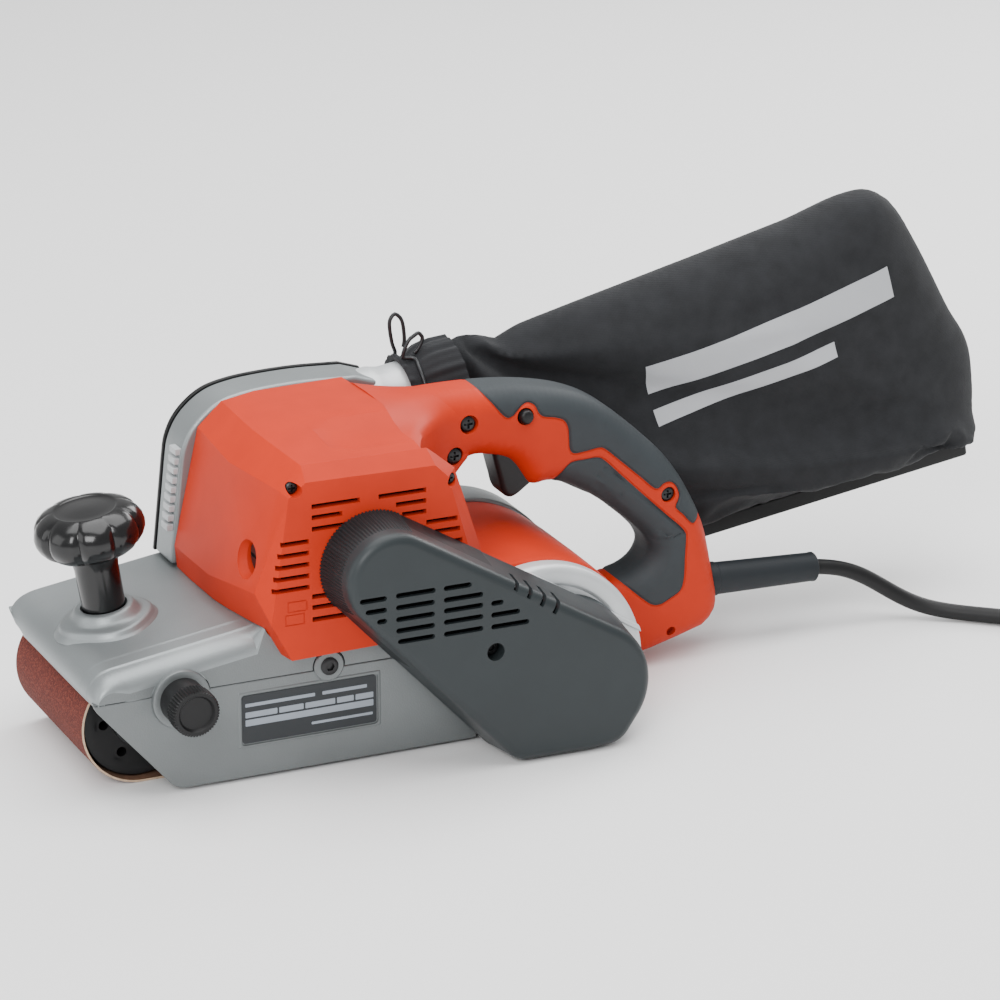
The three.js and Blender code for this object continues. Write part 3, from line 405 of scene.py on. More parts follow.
def disc(name, r, y0, y1, x, z, segments=48):
    return lathe(name, [(0, y0), (r, y0), (r, y1), (0, y1)], (x, z), segments)


def arc(cx, cz, r, a0, a1, steps):
    """Points on a circle from angle a0 to a1, in degrees."""
    angles = [math.radians(a0 + (a1 - a0) * i / steps) for i in range(steps + 1)]
    return [(cx + r * math.cos(a), cz + r * math.sin(a)) for a in angles]


def round_rect(x0, x1, z0, z1, r, steps=6):
    """A rectangle with rounded corners."""
    corners = ((x1 - r, z0 + r), (x1 - r, z1 - r), (x0 + r, z1 - r), (x0 + r, z0 + r))
    return [p for k, corner in enumerate(corners) for p in arc(*corner, r, 90 * k - 90, 90 * k, steps)]


def capsule(name, p0, p1, r, y0, y1, steps=6):
    """A round-ended slot between two points in X and Z, cut along Y."""
    a = math.degrees(math.atan2(p1[1] - p0[1], p1[0] - p0[0]))
    outline = arc(*p1, r, a - 90, a + 90, steps) + arc(*p0, r, a + 90, a + 270, steps)
    return prism(name, outline, y0, y1)


def spline(points, step=2.0):
    """A smooth line through points, no further than step apart."""
    pts = [np.array(p, float) for p in points]
    ext = [2 * pts[0] - pts[1], *pts, 2 * pts[-1] - pts[-2]]
    out = []
    for i in range(1, len(ext) - 2):
        p0, p1, p2, p3 = ext[i - 1 : i + 3]
        t0 = 0.0
        t1 = t0 + np.linalg.norm(p1 - p0) ** 0.5
        t2 = t1 + np.linalg.norm(p2 - p1) ** 0.5
        t3 = t2 + np.linalg.norm(p3 - p2) ** 0.5
        n = max(1, math.ceil(np.linalg.norm(p2 - p1) / step))
        for k in range(n):
            t = t1 + (t2 - t1) * k / n
            a1 = p0 * (t1 - t) / (t1 - t0) + p1 * (t - t0) / (t1 - t0)
            a2 = p1 * (t2 - t) / (t2 - t1) + p2 * (t - t1) / (t2 - t1)
            a3 = p2 * (t3 - t) / (t3 - t2) + p3 * (t - t2) / (t3 - t2)
            b1 = a1 * (t2 - t) / (t2 - t0) + a2 * (t - t0) / (t2 - t0)
            b2 = a2 * (t3 - t) / (t3 - t1) + a3 * (t - t1) / (t3 - t1)
            out.append(tuple(b1 * (t2 - t) / (t2 - t1) + b2 * (t - t1) / (t2 - t1)))
    out.append(tuple(pts[-1]))
    return out


def divide(points, step, closed=True):
    """The same corners with points between them no further than step apart."""
    out = []
    count = len(points) if closed else len(points) - 1
    for i in range(count):
        a, b = np.array(points[i], float), np.array(points[(i + 1) % len(points)], float)
        n = max(1, math.ceil(np.linalg.norm(b - a) / step))
        out += [tuple(a + (b - a) * k / n) for k in range(n)]
    if not closed:
        out.append(tuple(points[-1]))
    return out


def inside(points, loops):
    """Which points lie inside the closed loops, by crossings."""
    x, z = points[:, 0], points[:, 1]
    hit = np.zeros(len(points), bool)
    for loop in loops:
        for (x1, z1), (x2, z2) in zip(loop, [*loop[1:], loop[0]]):
            if z1 != z2:
                hit ^= ((z1 > z) != (z2 > z)) & (x < (x2 - x1) * (z - z1) / (z2 - z1) + x1)
    return hit


def distance(points, lines, closed=True):
    """Least distance from each point to the lines."""
    best = np.full(len(points), 1e9)
    for line in lines:
        ends = [*line[1:], line[0]] if closed else line[1:]
        for a, b in zip(line, ends):
            a, b = np.array(a, float), np.array(b, float)
            d = b - a
            t = np.clip(((points - a) @ d) / max(d @ d, 1e-12), 0, 1)
            best = np.minimum(best, np.linalg.norm(points - a - t[:, None] * d, axis=1))
    return best


def keep_used(points, faces):
    """The points that a face has, and the faces renumbered for them."""
    used = sorted({i for f in faces for i in f})
    at = {i: k for k, i in enumerate(used)}
    return [points[i] for i in used], [tuple(at[i] for i in f) for f in faces]


def open_edges(tris):
    """The edges that only one triangle has, in that triangle's direction."""
    found = {}
    for a, b, c in tris:
        for edge in ((a, b), (b, c), (c, a)):
            found.setdefault(frozenset(edge), []).append(edge)
    return [edges[0] for edges in found.values() if len(edges) == 1]


def patch(loops, step=1.6, rows=(0.35, 0.9, 1.7, 2.8, 4.2, 6.0, 8.2), spacing=4.0):
    """Triangles over a flat region, fine near its edges: (points, triangles, distance to the edge)."""
    loops = [divide(loop, step) for loop in loops]
    fixed = np.array([p for loop in loops for p in loop])
    free, cells = [], set()
    for r in rows:
        for loop in loops:
            a = np.array(loop)
            t = np.roll(a, -1, 0) - np.roll(a, 1, 0)
            n = np.stack([-t[:, 1], t[:, 0]], 1) / np.maximum(np.linalg.norm(t, axis=1), 1e-9)[:, None]
            ring = np.concatenate([a + n * r, a - n * r])
            ring = ring[inside(ring, loops)]
            ring = ring[distance(ring, loops) > 0.94 * r] if len(ring) else ring
            size = max(0.5, min(step * 0.7, r * 0.6))
            for p in ring:
                key = (round(r, 2), int(p[0] / size), int(p[1] / size))
                if key not in cells:
                    cells.add(key)
                    free.append(p)
    lo, hi = fixed.min(0), fixed.max(0)
    grid = np.array([
        (x + (spacing / 2 if j % 2 else 0), z)
        for j, z in enumerate(np.arange(lo[1], hi[1], spacing * 0.87))
        for x in np.arange(lo[0], hi[0], spacing)
    ])
    grid = grid[inside(grid, loops)]
    if len(grid):
        grid = grid[distance(grid, loops) > rows[-1] + spacing * 0.5]
    points = np.concatenate([fixed, np.array(free).reshape(-1, 2), grid.reshape(-1, 2)])
    edges, start = [], 0
    for loop in loops:
        edges += [(start + i, start + (i + 1) % len(loop)) for i in range(len(loop))]
        start += len(loop)
    made = geometry.delaunay_2d_cdt([Vector(p) for p in points], edges, [], 0, 1e-6)
    pts = np.array([tuple(v) for v in made[0]])
    tris = [f for f in made[2] if len(f) == 3]
    centres = np.array([pts[list(f)].mean(0) for f in tris])
    keep = inside(centres, loops)
    tris = [f for f, k in zip(tris, keep) if k]
    pts, tris = keep_used(pts, tris)
    pts = np.array(pts)
    return pts, tris, distance(pts, loops)


def pillow(name, loops, near, far, **how):
    """A closed solid over a flat region.

    near and far give Y from the points and their distance to the edge.
    """
    pts, tris, edge = patch(loops, **how)
    n = len(pts)
    y0, y1 = near(pts, edge), far(pts, edge)
    verts = [(x, y, z) for (x, z), y in zip(pts, y0)] + [(x, y, z) for (x, z), y in zip(pts, y1)]
    faces = [*tris, *[(n + c, n + b, n + a) for a, b, c in tris]]
    faces += [(n + a, n + b, b, a) for a, b in open_edges(tris)]
    return build(name, verts, faces)


def tube(name, path, radius, sides=12):
    """A round wire along a path of points in X, Y and Z."""
    pts = [Vector(p) for p in path]
    rings, last = [], None
    for i, p in enumerate(pts):
        d = (pts[min(i + 1, len(pts) - 1)] - pts[max(i - 1, 0)]).normalized()
        if last is None:
            last = frame_of(d)[1]
        last = (last - d * last.dot(d)).normalized()
        other = d.cross(last)
        angles = np.linspace(0, 2 * math.pi, sides, endpoint=False)
        rings.append([p + (last * math.cos(a) + other * math.sin(a)) * radius for a in angles])
    return loft(name, rings)


def hull(name, points):
    """The convex skin of some points."""
    bm = bmesh.new()
    for p in points:
        bm.verts.new([c * MM for c in p])
    made = bmesh.ops.convex_hull(bm, input=bm.verts)
    unused = {e for e in [*made["geom_interior"], *made["geom_unused"]] if isinstance(e, bmesh.types.BMVert)}
    bmesh.ops.delete(bm, geom=list(unused), context="VERTS")
    bmesh.ops.dissolve_limit(bm, angle_limit=math.radians(2.5), verts=bm.verts, edges=bm.edges)
    bmesh.ops.recalc_face_normals(bm, faces=bm.faces)
    mesh = bpy.data.meshes.new(name)
    bm.to_mesh(mesh)
    bm.free()
    return put(name, mesh)


# ------------------------------------------------------------------ motor housing
HOUSING_SLOTS = [
    (-24, 1.5, 143), (-24, -7.8, 137.3), (-24, -6, 131.3), (-40.4, -25.6, 125.4), (-41.8, -25.6, 119.4),
    (-43, -25.6, 113.5), (-44, -25.6, 107.5), (-45, -25.6, 101.5), (-24.3, -8, 96), (-24.3, -4, 90.3),
    (-24.3, 4, 84), (11.5, 37, 143), (20.8, 37, 137.4), (24, 37, 131.8), (37, 53.8, 125.8),
    (41.5, 55.2, 120.2), (48, 56.4, 113.8), (50, 57, 108),
]
HOUSING_BLIND = [(-37.5, -27, 95.2, 89.5), (-38.8, -28.5, 88.5, 82.6)]


def motor_housing():
    near = [(-35.5, 64), (-46, 84), (-44, 101), (-36, 149), (-27, 156), (42, 155), (49, 148), (60, 109),
            (64, 66)]
    mid = [(-34, 62), (-45, 78), (-51.5, 99), (-38.5, 151), (-26, 162), (41, 161.5), (56, 149), (70, 105),
           (73, 64)]
    high = [(-52, 70), (-56, 92), (-44, 150), (-31, 165), (-10, 169), (45, 170), (62.4, 168.8), (68, 140),
            (66, 100), (62, 68)]
    far = [(-53, 70), (-55, 90), (-41, 152), (-28, 164), (-10, 167), (45, 168), (62.4, 167), (62.4, 100),
           (62, 68)]
    rings = [(HOUSING_Y, near), (-71.4, mid), (-20, high), (31, far)]
    shell = hull("motor_housing_shell", [(x, y, z) for y, ring in rings for x, z in ring])
    floor_cut = box("t", -90, 90, WALL_Y - 0.3, 60, 40, 67.5)
    front_cut = prism("t", [(-95, 60), (-45.6, 60), (-45.6, deck_at(-45.6) + 0.4),
                            (-95, deck_at(-95) + 0.4)], WALL_Y - 0.3, 60)
    rear_cut = box("t", 62.2, 95, WALL_Y - 0.3, 60, 40, 89.2)
    boolean(shell, [floor_cut, front_cut, rear_cut])
    bevel(shell, 2.2, 4, 14)
    scoop = turned("t", [(0, -16), (20, -15.5), (55, -6), (57, 4), (57, 70), (0, 70)], (0, -54, 219),
                   (1, 0, 0.012), 96)
    boolean(shell, [scoop])
    boolean(shell, [box("t", SHOULDER_X0, 95, -71.0, 60, 134.2, 200)])
    tools = [box("t", *ends, HOUSING_Y - 2, HOUSING_Y + 5, z - 1.25, z + 1.25) for *ends, z in HOUSING_SLOTS]
    for x0, x1, z1, z0 in HOUSING_BLIND:
        outer = box("t", x0, x1, HOUSING_Y - 2, HOUSING_Y + 0.35, z0, z1)
        boolean(outer, [box("t", x0 + 0.6, x1 - 0.6, HOUSING_Y - 3, HOUSING_Y + 1, z0 + 0.6, z1 - 0.6)])
        tools.append(outer)
    tools += [disc("t", 3.3, -85, -72.2, x, z, 32) for x, z in HOUSING_SCREWS]
    tools.append(turned("t", [(0, -20), (11.4, -20), (9.9, 0.2), (8.3, 3.2), (8.1, 16), (0, 16)],
                        (-49.2, -57, 112), (1, 0, -0.1), 48))
    carve(shell, tools)
    dress(shell, "orange", replaces="motor_housing", smooth=24)
    # Painted shade: a thin black sheet across the bottoms of the vent slots, which end in the solid shell.
    back = [(-36, 80), (-40.5, 84), (-39.5, 101), (-33.5, 146), (40, 146), (47, 137), (55, 108), (58, 80)]
    dark = prism("motor_housing_painted_shade", back, HOUSING_Y + 4.4, HOUSING_Y + 5.4)
    dress(dark, "black_matte")
    plug = turned("brush_cap", [(0, 0), (7.2, 0), (7.7, 0.5), (7.7, 3), (0, 3)], (-44.6, -57, 112),
                  (1, 0, 0), 40)
    carve(plug, [box("t", -46, -43.4, -64, -50, 111.0, 113.0)])
    dress(plug, "dark_steel")


# ------------------------------------------------------------------ belt cover
LOBES = [(8.0, 108.5, 24.5), (113.5, 35.0, 34.0), (124.0, 16.8, 15.0), (80.0, 14.0, 12.5)]


def lobe_outline(grow, count=240, ripple=0.0, lobes=LOBES):
    """Points round the circles' common hull, the same number for any growth."""
    out = []
    for i in range(count):
        a = 2 * math.pi * i / count
        n = (math.cos(a), math.sin(a))
        x, z, r = max(lobes, key=lambda c: c[0] * n[0] + c[1] * n[1] + c[2])
        rr = r + grow + (ripple * math.sin(i * 2 * math.pi / 8) if (x, z) == lobes[0][:2] else 0.0)
        out.append((x + n[0] * rr, max(z + n[1] * rr, 1.5)))
    return out


COVER_SLOTS = [
    (-10, 1.5, 101.5), (-7, 1.5, 95.5), (-1, 1.5, 89.7), (9, 27.5, 101.8), (9, 27, 95.6), (9, 27, 89.4),
    (9, 27, 83.4), (10, 27, 77.6), (34.5, 46.8, 101.7), (34.5, 53, 95.6), (34.5, 53, 89.9), (34.5, 53, 83.9),
    (34.5, 53, 77.6), (60, 64, 89.8), (60, 73, 83.6), (60, 78, 77.3),
]


def belt_cover():
    outer = [(COVER_Y, -5.2), (COVER_Y + 0.4, -3.4), (COVER_Y + 1.3, -1.8), (COVER_Y + 2.7, -0.6),
             (COVER_Y + 4.6, 0.0),
             (COVER_Y + 8, 0.4), (-94, 1.4), (-86, 2.2), (HOUSING_Y - 0.3, 3.2)]
    inner = [(HOUSING_Y - 0.3, 0.8), (-90, 0.0), (COVER_Y + 5, -2.2), (COVER_Y + 3.2, -3.6),
             (COVER_Y + 2.6, -7)]
    rings = [[(x, y, z) for x, z in lobe_outline(g)] for y, g in outer + inner]
    shell = loft("belt_cover_shell", rings)
    tools = [capsule("t", (x0, z), (x1, z), 1.35, COVER_Y - 3, COVER_Y + 4) for x0, x1, z in COVER_SLOTS]
    tools.append(disc("t", 4.7, COVER_Y - 3, COVER_Y + 6, *COVER_SCREW, 40))
    along, normal = Vector((0.8, -0.6)), Vector((0.6, 0.8))
    for x, z in ((72.5, 95.4), (79.5, 90.3), (86.5, 85.2), (93.5, 80.1)):
        p0, p1 = Vector((x, z)) - along * 1.2, Vector((x, z)) + along * 1.2
        quad = [p0 - normal * 1.2, p1 - normal * 1.2, p1 + normal * 9, p0 + normal * 9]
        tools.append(prism("t", [tuple(q) for q in quad], COVER_Y - 3, COVER_Y + 13))
    carve(shell, tools)
    dress(shell, "charcoal", replaces="belt_cover", smooth=32)
    neck = [[(x, y, z) for x, z in lobe_outline(g, 720, ripple=0.35)] for y, g in
            [(COVER_Y + 9, 0.1), (COVER_Y + 10, 0.75), (-93, 1.8), (-85, 2.7), (HOUSING_Y - 0.4, 3.7),
             (HOUSING_Y - 0.4, 1.0), (COVER_Y + 9, -0.5)]]
    sleeve = loft("belt_cover_neck", [*neck, neck[0]], caps=False)
    boolean(sleeve, [prism("t", [(-60, 190), (-60, 30), (30, 60), (75, 118), (75, 190)], -130, -60)],
            "INTERSECT")
    dress(sleeve, "charcoal_side", smooth=60)
    skirt_lobes = [(113.5, 35.0, 34.0), (124.0, 16.8, 15.0), (92.0, 20.0, 18.0)]
    skirt = [[(x, y, z) for x, z in lobe_outline(g, 200, lobes=skirt_lobes)] for y, g in
             [(HOUSING_Y - 0.5, 3.2), (WALL_Y - 0.5, 3.6), (WALL_Y - 0.5, 0.5), (HOUSING_Y - 0.5, 0.5)]]
    band = loft("belt_cover_skirt", [*skirt, skirt[0]], caps=False)
    boolean(band, [box("t", 78, 200, -130, -60, -10, 120)], "INTERSECT")
    dress(band, "charcoal", smooth=50)
    # Painted shade: a thin black sheet behind the vent slots, for the dark inside of the cover.
    back = prism("belt_cover_painted_shade", lobe_outline(-3.2, 120), COVER_Y + 5.2, COVER_Y + 5.8)
    carve(back, [disc("t", 6.8, COVER_Y, COVER_Y + 8, *COVER_SCREW)])
    dress(back, "black_matte")
    boss_line = [(4.8, COVER_Y + 1.2), (6.5, COVER_Y + 1.2), (6.5, HOUSING_Y - 1), (2.6, HOUSING_Y - 1),
                 (2.6, COVER_Y + 10), (4.8, COVER_Y + 10), (4.8, COVER_Y + 1.2)]
    boss = lathe("belt_cover_boss", boss_line, COVER_SCREW, 40)
    dress(boss, "charcoal")


# ------------------------------------------------------------------ frame casting
HOOD = [(64.0, 78.5), (-47.0, 78.93), (-118.0, 68.64), (-124.0, 67.5), (-129.2, 65.5), (-133.2, 62.2),
        (-135.6, 58.0), (-136.2, 54.6), (-135.0, 51.0)]
DECK_THICK = 3.2


def hood_line():
    """The deck's top edge: a flat part under the housing, then the slope, then the nose."""
    flat = [(64.0, 67.0), (-45.8, 67.0), (-46.0, 79.07)]
    return flat + divide([(-46.0, 79.07), (-116.0, 68.92)], 6.0, closed=False)[1:] + spline(HOOD[2:], 1.2)[1:]


def frame_casting():
    line = np.array(hood_line())
    length = np.concatenate([[0], np.cumsum(np.linalg.norm(np.diff(line, axis=0), axis=1))])
    tangent = np.gradient(line, axis=0)
    tangent[:3] = (-1, 0)
    normal = np.stack([tangent[:, 1], -tangent[:, 0]], 1)
    normal /= np.linalg.norm(normal, axis=1)[:, None]
    start = length[np.argmax(line[:, 0] < -116)]
    share = np.clip(1 - (length - start) / (length[-1] - start) * 0.85, 0.15, 1)
    share[:3] = 0
    sections = [(-70.4, 13.8), (-71.0, 11.6), (-70.8, 9.6), (-70.2, 7.6), (-69.2, 5.9), (-67.9, 4.5),
                (-66.3, 3.3), (-64.5, 2.45), (-62.6, 1.9), (-60.8, 1.6), (-60.0, 1.35), (-59.3, 0.75),
                (-58.2, 0.65), (-52.5, 0.42), (-51.2, 0.35), (-50.4, 0.05), (-49.6, 0.0), (-30, 0), (0, 0),
                (30, 0), (38, 0), (46, 0), (54.5, 0), (56.5, 0.35), (57.6, 1.1), (58.0, 2.2)]
    rings = []
    for y, drop in sections:
        outer = line - normal * (drop * share)[:, None]
        under = outer - normal * DECK_THICK
        if y > 38:
            for side in (outer, under):
                side[:, 1] = np.where(side[:, 0] < -124, np.maximum(side[:, 1], 51.2 + (y - 38) * 0.445),
                                      side[:, 1])
        rings.append([(x, y, z) for x, z in outer] + [(x, y, z) for x, z in under[::-1]])
    deck = loft("frame_deck", rings)
    dress(deck, "cast", replaces="frame_casting", smooth=30)
    outer = (line - normal * (11.6 * share)[:, None])[2:]
    wall_line = [tuple(p) for p in outer if p[1] > SEAM_Z + 0.4]
    seam = SEAM_Z + 0.3
    wall_line += [(-135.6, seam), (-60, seam), (62, seam), (62, 67.0), (-37.0, 67.0), (-45.0, 77.0)]
    wall = prism("frame_wall", wall_line, WALL_Y, WALL_Y + 5)
    carve(wall, [disc("t", 15.9, -80, -60, *TRACK), disc("t", 8.7, -80, -67, *WALL_SCREW)])
    # The wall belongs to the deck's casting; its darker copy of cast is painted shade.
    dress(wall, "cast_painted_shade", smooth=30)
    profile = [
        (26.8, -8.4), (25.6, -6.8), (24.6, -6.0), (23.8, -5.0), (23.3, -3.8), (22.5, -3.0), (21.0, -2.6),
        (19.2, -2.3), (17.9, -1.6), (16.9, -0.4), (16.0, 0.9), (15.2, 2.0), (14.3, 2.7), (13.2, 2.9),
        (12.0, 2.7), (11.5, 1.8), (11.4, 0.2), (0, 0.2), (0, -10), (26.2, -10), (26.8, -8.4),
    ]

    def foot(a, k):
        """Four faint lobes round the foot of the boss."""
        return 1 + 0.03 * math.cos(4 * a) * (k < 8 or k > 17)

    boss = turned("frame_boss", profile, KNOB, KNOB_AXIS, 96, foot)
    dress(boss, "cast", smooth=50)
    web = box("frame_web", -62, 126, -61.3, -54, 9, 65)
    beam = box("frame_beam", -48, 66, -54, 38, 9, 52)
    carve(beam, [box("t", -60, 26, -9, 9, 22, 39)])
    guard_line = [*arc(AXLE_X, AXLE_Z, 36, -20, 90, 24), (60, 67.2), (60, 64.2),
                  *arc(AXLE_X, AXLE_Z, 33, 90, -20, 24)]
    guard = prism("frame_guard", guard_line, -54, FAR_Y)
    lugs = [box("frame_lug_low", -6, 6, 37, 47, 22, 25.7), box("frame_lug_high", -6, 6, 37, 47, 36.3, 40)]
    for piece in (web, beam, guard, *lugs):
        bevel(piece, 0.8, 2)
        dress(piece, "cast_dull")


def side_plate():
    outline = [(-136.0, SEAM_Z - 0.1), (-135.3, 51), (-133.6, 48.3), (-102.0, 11.4),
               *arc(-88, 15, 13, 222, 270, 10), (68, 2), (68, SEAM_Z - 0.1)]
    plate = prism("side_plate_shell", outline, WALL_Y, WALL_Y + 3.5)
    bevel(plate, 0.7, 3)
    collar = lathe("t", [(0, -73.2), (14.2, -73.2), (14.9, -72.9), (15.3, -72.2), (15.3, -68), (0, -68)],
                   TRACK)
    tab = lathe("t", [(0, -71.9), (7.4, -71.9), (8.0, -71.4), (8.1, -70.5), (8.1, -68), (0, -68)],
                WALL_SCREW, 48)
    rim = box("t", -61.4, 15.6, WALL_Y - 0.45, WALL_Y + 2, 17.5, 48)
    bevel(rim, 1.2, 4)
    boolean(plate, [collar, tab, rim], "UNION")
    hollow = prism("t", round_rect(-59.8, 14.0, 19.1, 46.4, 2.2), WALL_Y - 3, WALL_Y + 0.5)
    carve(plate, [hollow, disc("t", 12.9, -80, -69.8, *TRACK), disc("t", 2.4, -80, -60, *TRACK),
                  disc("t", 5.6, -80, -69.6, *WALL_SCREW), disc("t", 2.4, -80, -60, *WALL_SCREW)])
    # The darker copy of cast on the side plate is painted shade.
    dress(plate, "cast_painted_shade", replaces="side_plate", smooth=30)
    label = prism("name_plate_face", round_rect(-58.9, 13.1, 20.0, 45.5, 1.6), WALL_Y + 0.1, WALL_Y + 0.5)
    dress(label, "label", replaces="name_plate")
    bands = [(-57.2, 11.4, 29.2, 32.6)]
    middle_row = ((-57.2, 17), (-39.2, 13), (-25.2, 16), (-8.2, 9), (1.8, 9.6))
    bands += [(x, x + w, 33.6, 36.6) for x, w in middle_row]
    bands += [(-57.2, -20, 39.4, 41.2), (-16, 8, 39.4, 41.2), (-22, 11, 24.4, 25.8)]
    for i, (x0, x1, z0, z1) in enumerate(bands):
        band = prism(f"label_band_{i}", round_rect(x0, x1, z0, z1, 0.4), WALL_Y, WALL_Y + 0.14)
        dress(band, "label_pale")


# ------------------------------------------------------------------ knobs and screws
def front_knob():
    profile = [(0, 0.4), (10.6, 0.4), (11.0, 0.9), (11.2, 24), (12, 29), (13.6, 33), (0, 33)]
    stem = turned("front_knob_stem", profile, KNOB, KNOB_AXIS, 64)
    dress(stem, "black_gloss", BODY)
    profile = [(0, 33.4), (12, 33.4), (14.5, 32.8), (17.5, 32.7), (21, 33.6), (24.2, 35.8), (26.6, 38.8),
               (28.0, 42.0), (28.3, 45.0), (27.6, 48.4), (25.8, 51.4), (22.8, 53.9), (19.5, 55.3),
               (16.8, 55.9), (15.6, 55.7), (14.8, 55.1), (11, 55.4), (5, 55.8), (0, 56)]
    weight = [0, 0, 0.15, 0.4, 0.7, 0.9, 1, 1, 1, 1, 0.9, 0.7, 0.45, 0.2, 0.05, 0, 0, 0, 0]
    lobes = 9

    def shape(a, k):
        t = (a * lobes / (2 * math.pi)) % 1.0
        valley = max(0.0, 1 - abs(t - 0.5) / 0.2)
        return 1 - weight[k] * (0.055 * valley**1.5 + 0.012 * (1 - math.cos(2 * math.pi * t)))

    wheel = turned("front_knob_wheel", profile, KNOB, KNOB_AXIS, 288, shape)
    dress(wheel, "black_gloss", BODY, replaces="front_knob", smooth=50)


def tracking_knob():
    ridges = 48

    def shape(a, k):
        return 1 + (0.028 * math.cos(ridges * a) if 4 <= k <= 7 else 0)

    profile = [(0, -92.0), (8.3, -92.0), (8.8, -92.8), (9.4, -93.6), (11.2, -93.6), (11.9, -92.8),
               (12.0, -86.0), (12.0, -84.8), (11.5, -84.6), (11.6, -72.5), (10.5, -71.2), (0, -71.2)]
    knob = lathe("tracking_knob_grip", profile, TRACK, 384, shape)
    dress(knob, "black", "tracking_knob", replaces="tracking_knob", smooth=40)


def screw(node, at, y, r, hexagon=False):
    """A round head at y that faces the near side, with its drive recess: a socket or a cross."""
    profile = [(0, y), (r * 0.8, y), (r, y + 0.5), (r, y + 2.4), (r * 0.5, y + 2.4), (r * 0.5, y + 12),
               (0, y + 12)]
    head = lathe(node + "_head", profile, at, 40)
    deep = y + 1.4
    if hexagon:
        tool = disc("t", r * 0.52, y - 1, deep, *at, 6)
    else:
        w, long = r * 0.16, r * 0.62
        arm, cross = [(-w, -long), (w, -long), (w, -w)], []
        for _ in range(4):
            cross += arm
            arm = [(-z, x) for x, z in arm]
        tool = prism("t", [(at[0] + x, at[1] + z) for x, z in cross], y - 1, deep)
    carve(head, [tool])
    dress(head, "screw", replaces=node)


def screws():
    screw("cover_screw", (61.5, 63.8), COVER_Y + 6.6, 4.1, hexagon=True)
    screw("wall_screw", WALL_SCREW, WALL_Y - 2.0, 4.6, hexagon=True)
    screw("handle_screw_upper", HANDLE_SCREWS[0], -16.4, 3.9)
    screw("handle_screw_lower", HANDLE_SCREWS[1], -16.9, 3.9)
    screw("handle_screw_rear", REAR_SCREW, -16.3, 3.7)
    screw("housing_screw_front", HOUSING_SCREWS[0], -74.2, 3.0)
    screw("housing_screw_rear", HOUSING_SCREWS[1], -74.2, 3.0)


# ------------------------------------------------------------------ belt and rollers
def loop_points(r, steps=40):
    return arc(AXLE_X, AXLE_Z, r, -90, 90, steps) + arc(-AXLE_X, AXLE_Z, r, 90, 270, steps)


def sanding_belt():
    def band(name, section, mat, node=()):
        rings = [[(x, y, z) for x, z in divide(loop_points(r), 400)] for y, r in [*section, section[0]]]
        dress(loft(name, rings, caps=False), mat, BODY, replaces=node, smooth=60)

    def layer(half, r0, r1):
        side = [(half, r0), (half, r1 - 0.12), (half - 0.15, r1)]
        return [(-y, r) for y, r in side] + side[::-1]

    band("sanding_belt_grit", layer(BELT_HALF, 30.75, BELT_R), "grit", "sanding_belt")
    band("sanding_belt_backing", layer(BELT_HALF - 0.02, LOOP_R + 0.02, 30.72), "belt_back")
    for name, y0, y1 in (("near", -50.15, -49.98), ("far", 49.98, 50.15)):
        band(f"sanding_belt_edge_{name}", [(y0, 30.05), (y0, 31.1), (y1, 31.1), (y1, 30.05)], "belt_edge")


def front_roller():
    at = (-AXLE_X, AXLE_Z)
    half = 46.0
    profile = [(13, -half + 1), (22, -half + 1), (24, -half), (28.4, -half), (29.0, -half + 0.8),
               (29.6, -20), (29.6, 20), (29.0, half - 0.8), (28.4, half), (24, half), (22, half - 1),
               (13, half - 1), (13, -half + 1)]
    roller = lathe("front_roller_drum", profile, at, 96)
    carve(roller, [disc("t", 2.6, -60, 60, *p, 24) for p in arc(*at, 18, 0, 300, 5)])
    dress(roller, "black", "front_roller_group", replaces="front_roller")
    cap = lathe("front_roller_cap", [(6.2, -46.2), (12.8, -46.2), (12.8, -44), (6.2, -44), (6.2, -46.2)], at,
                48)
    dress(cap, "dark_steel", "front_roller_group")


# ------------------------------------------------------------------ gear case, fender, duct, dust housing
def gear_case():
    x, z = AXLE_X, AXLE_Z
    profile = [(0, -68.6), (46.6, -68.6), (47.2, -69.4), (47.6, -70.6), (48.4, -71.3), (49.6, -71.5),
               (53.6, -71.3), (55.6, -70.5), (56.9, -69.2), (57.5, -67.2), (57.5, -62.1), (54.0, -62.1),
               (53.6, -66.4), (0, -66.4)]
    dome = lathe("gear_case_shell", profile, (x, z), 160)
    raised = [(0, -69.9), (41.5, -69.9), (42.6, -69.5), (43.0, -68.4), (43.0, -67), (0, -67)]
    inner = lathe("t", raised, (x + 3, z - 2), 96)
    ridge = prism("t", [(66, 103.5), (160, 45.0), (160, 48.2), (66, 106.7)], -74.5, -67)
    bevel(ridge, 1.0, 3)
    boolean(ridge, [disc("t", 56.2, -90, -60, x, z, 96)], "INTERSECT")
    boolean(dome, [inner, ridge], "UNION")
    boolean(dome, [box("t", 0, 200, -90, -50, -60, 2.6), box("t", 0, 68.4, -90, -50, -60, 200)])
    dress(dome, "silver", replaces="gear_case", smooth=30)


def fender():
    x, z = AXLE_X, AXLE_Z
    rows = [(-61.9, 54.6), (-61.9, 56.6), (-61.2, 57.6), (-58, 58.2), (-45, 58.6), (-20, 58.8), (10, 58.6),
            (26, 58.2), (32.4, 57.6), (33.6, 56.8), (34, 55.6), (34, 54.4)]

    def line(r, dip=(0.4, 0.1)):
        return [(62.8, z + r - dip[0]), (80, z + r - dip[1]), *arc(x, z, r, 92, -2, 48), (x + r, 7)]

    inner = line(54.4, (0, 0))
    sections = [*[(y, line(r)) for y, r in rows], (34, inner), (-61.9, inner)]
    strips = [[(px, y, pz) for px, pz in line] for y, line in sections]
    shell = loft("rear_fender_shell", list(zip(*strips)), merge=True)
    dress(shell, "orange", replaces="rear_fender", smooth=30)


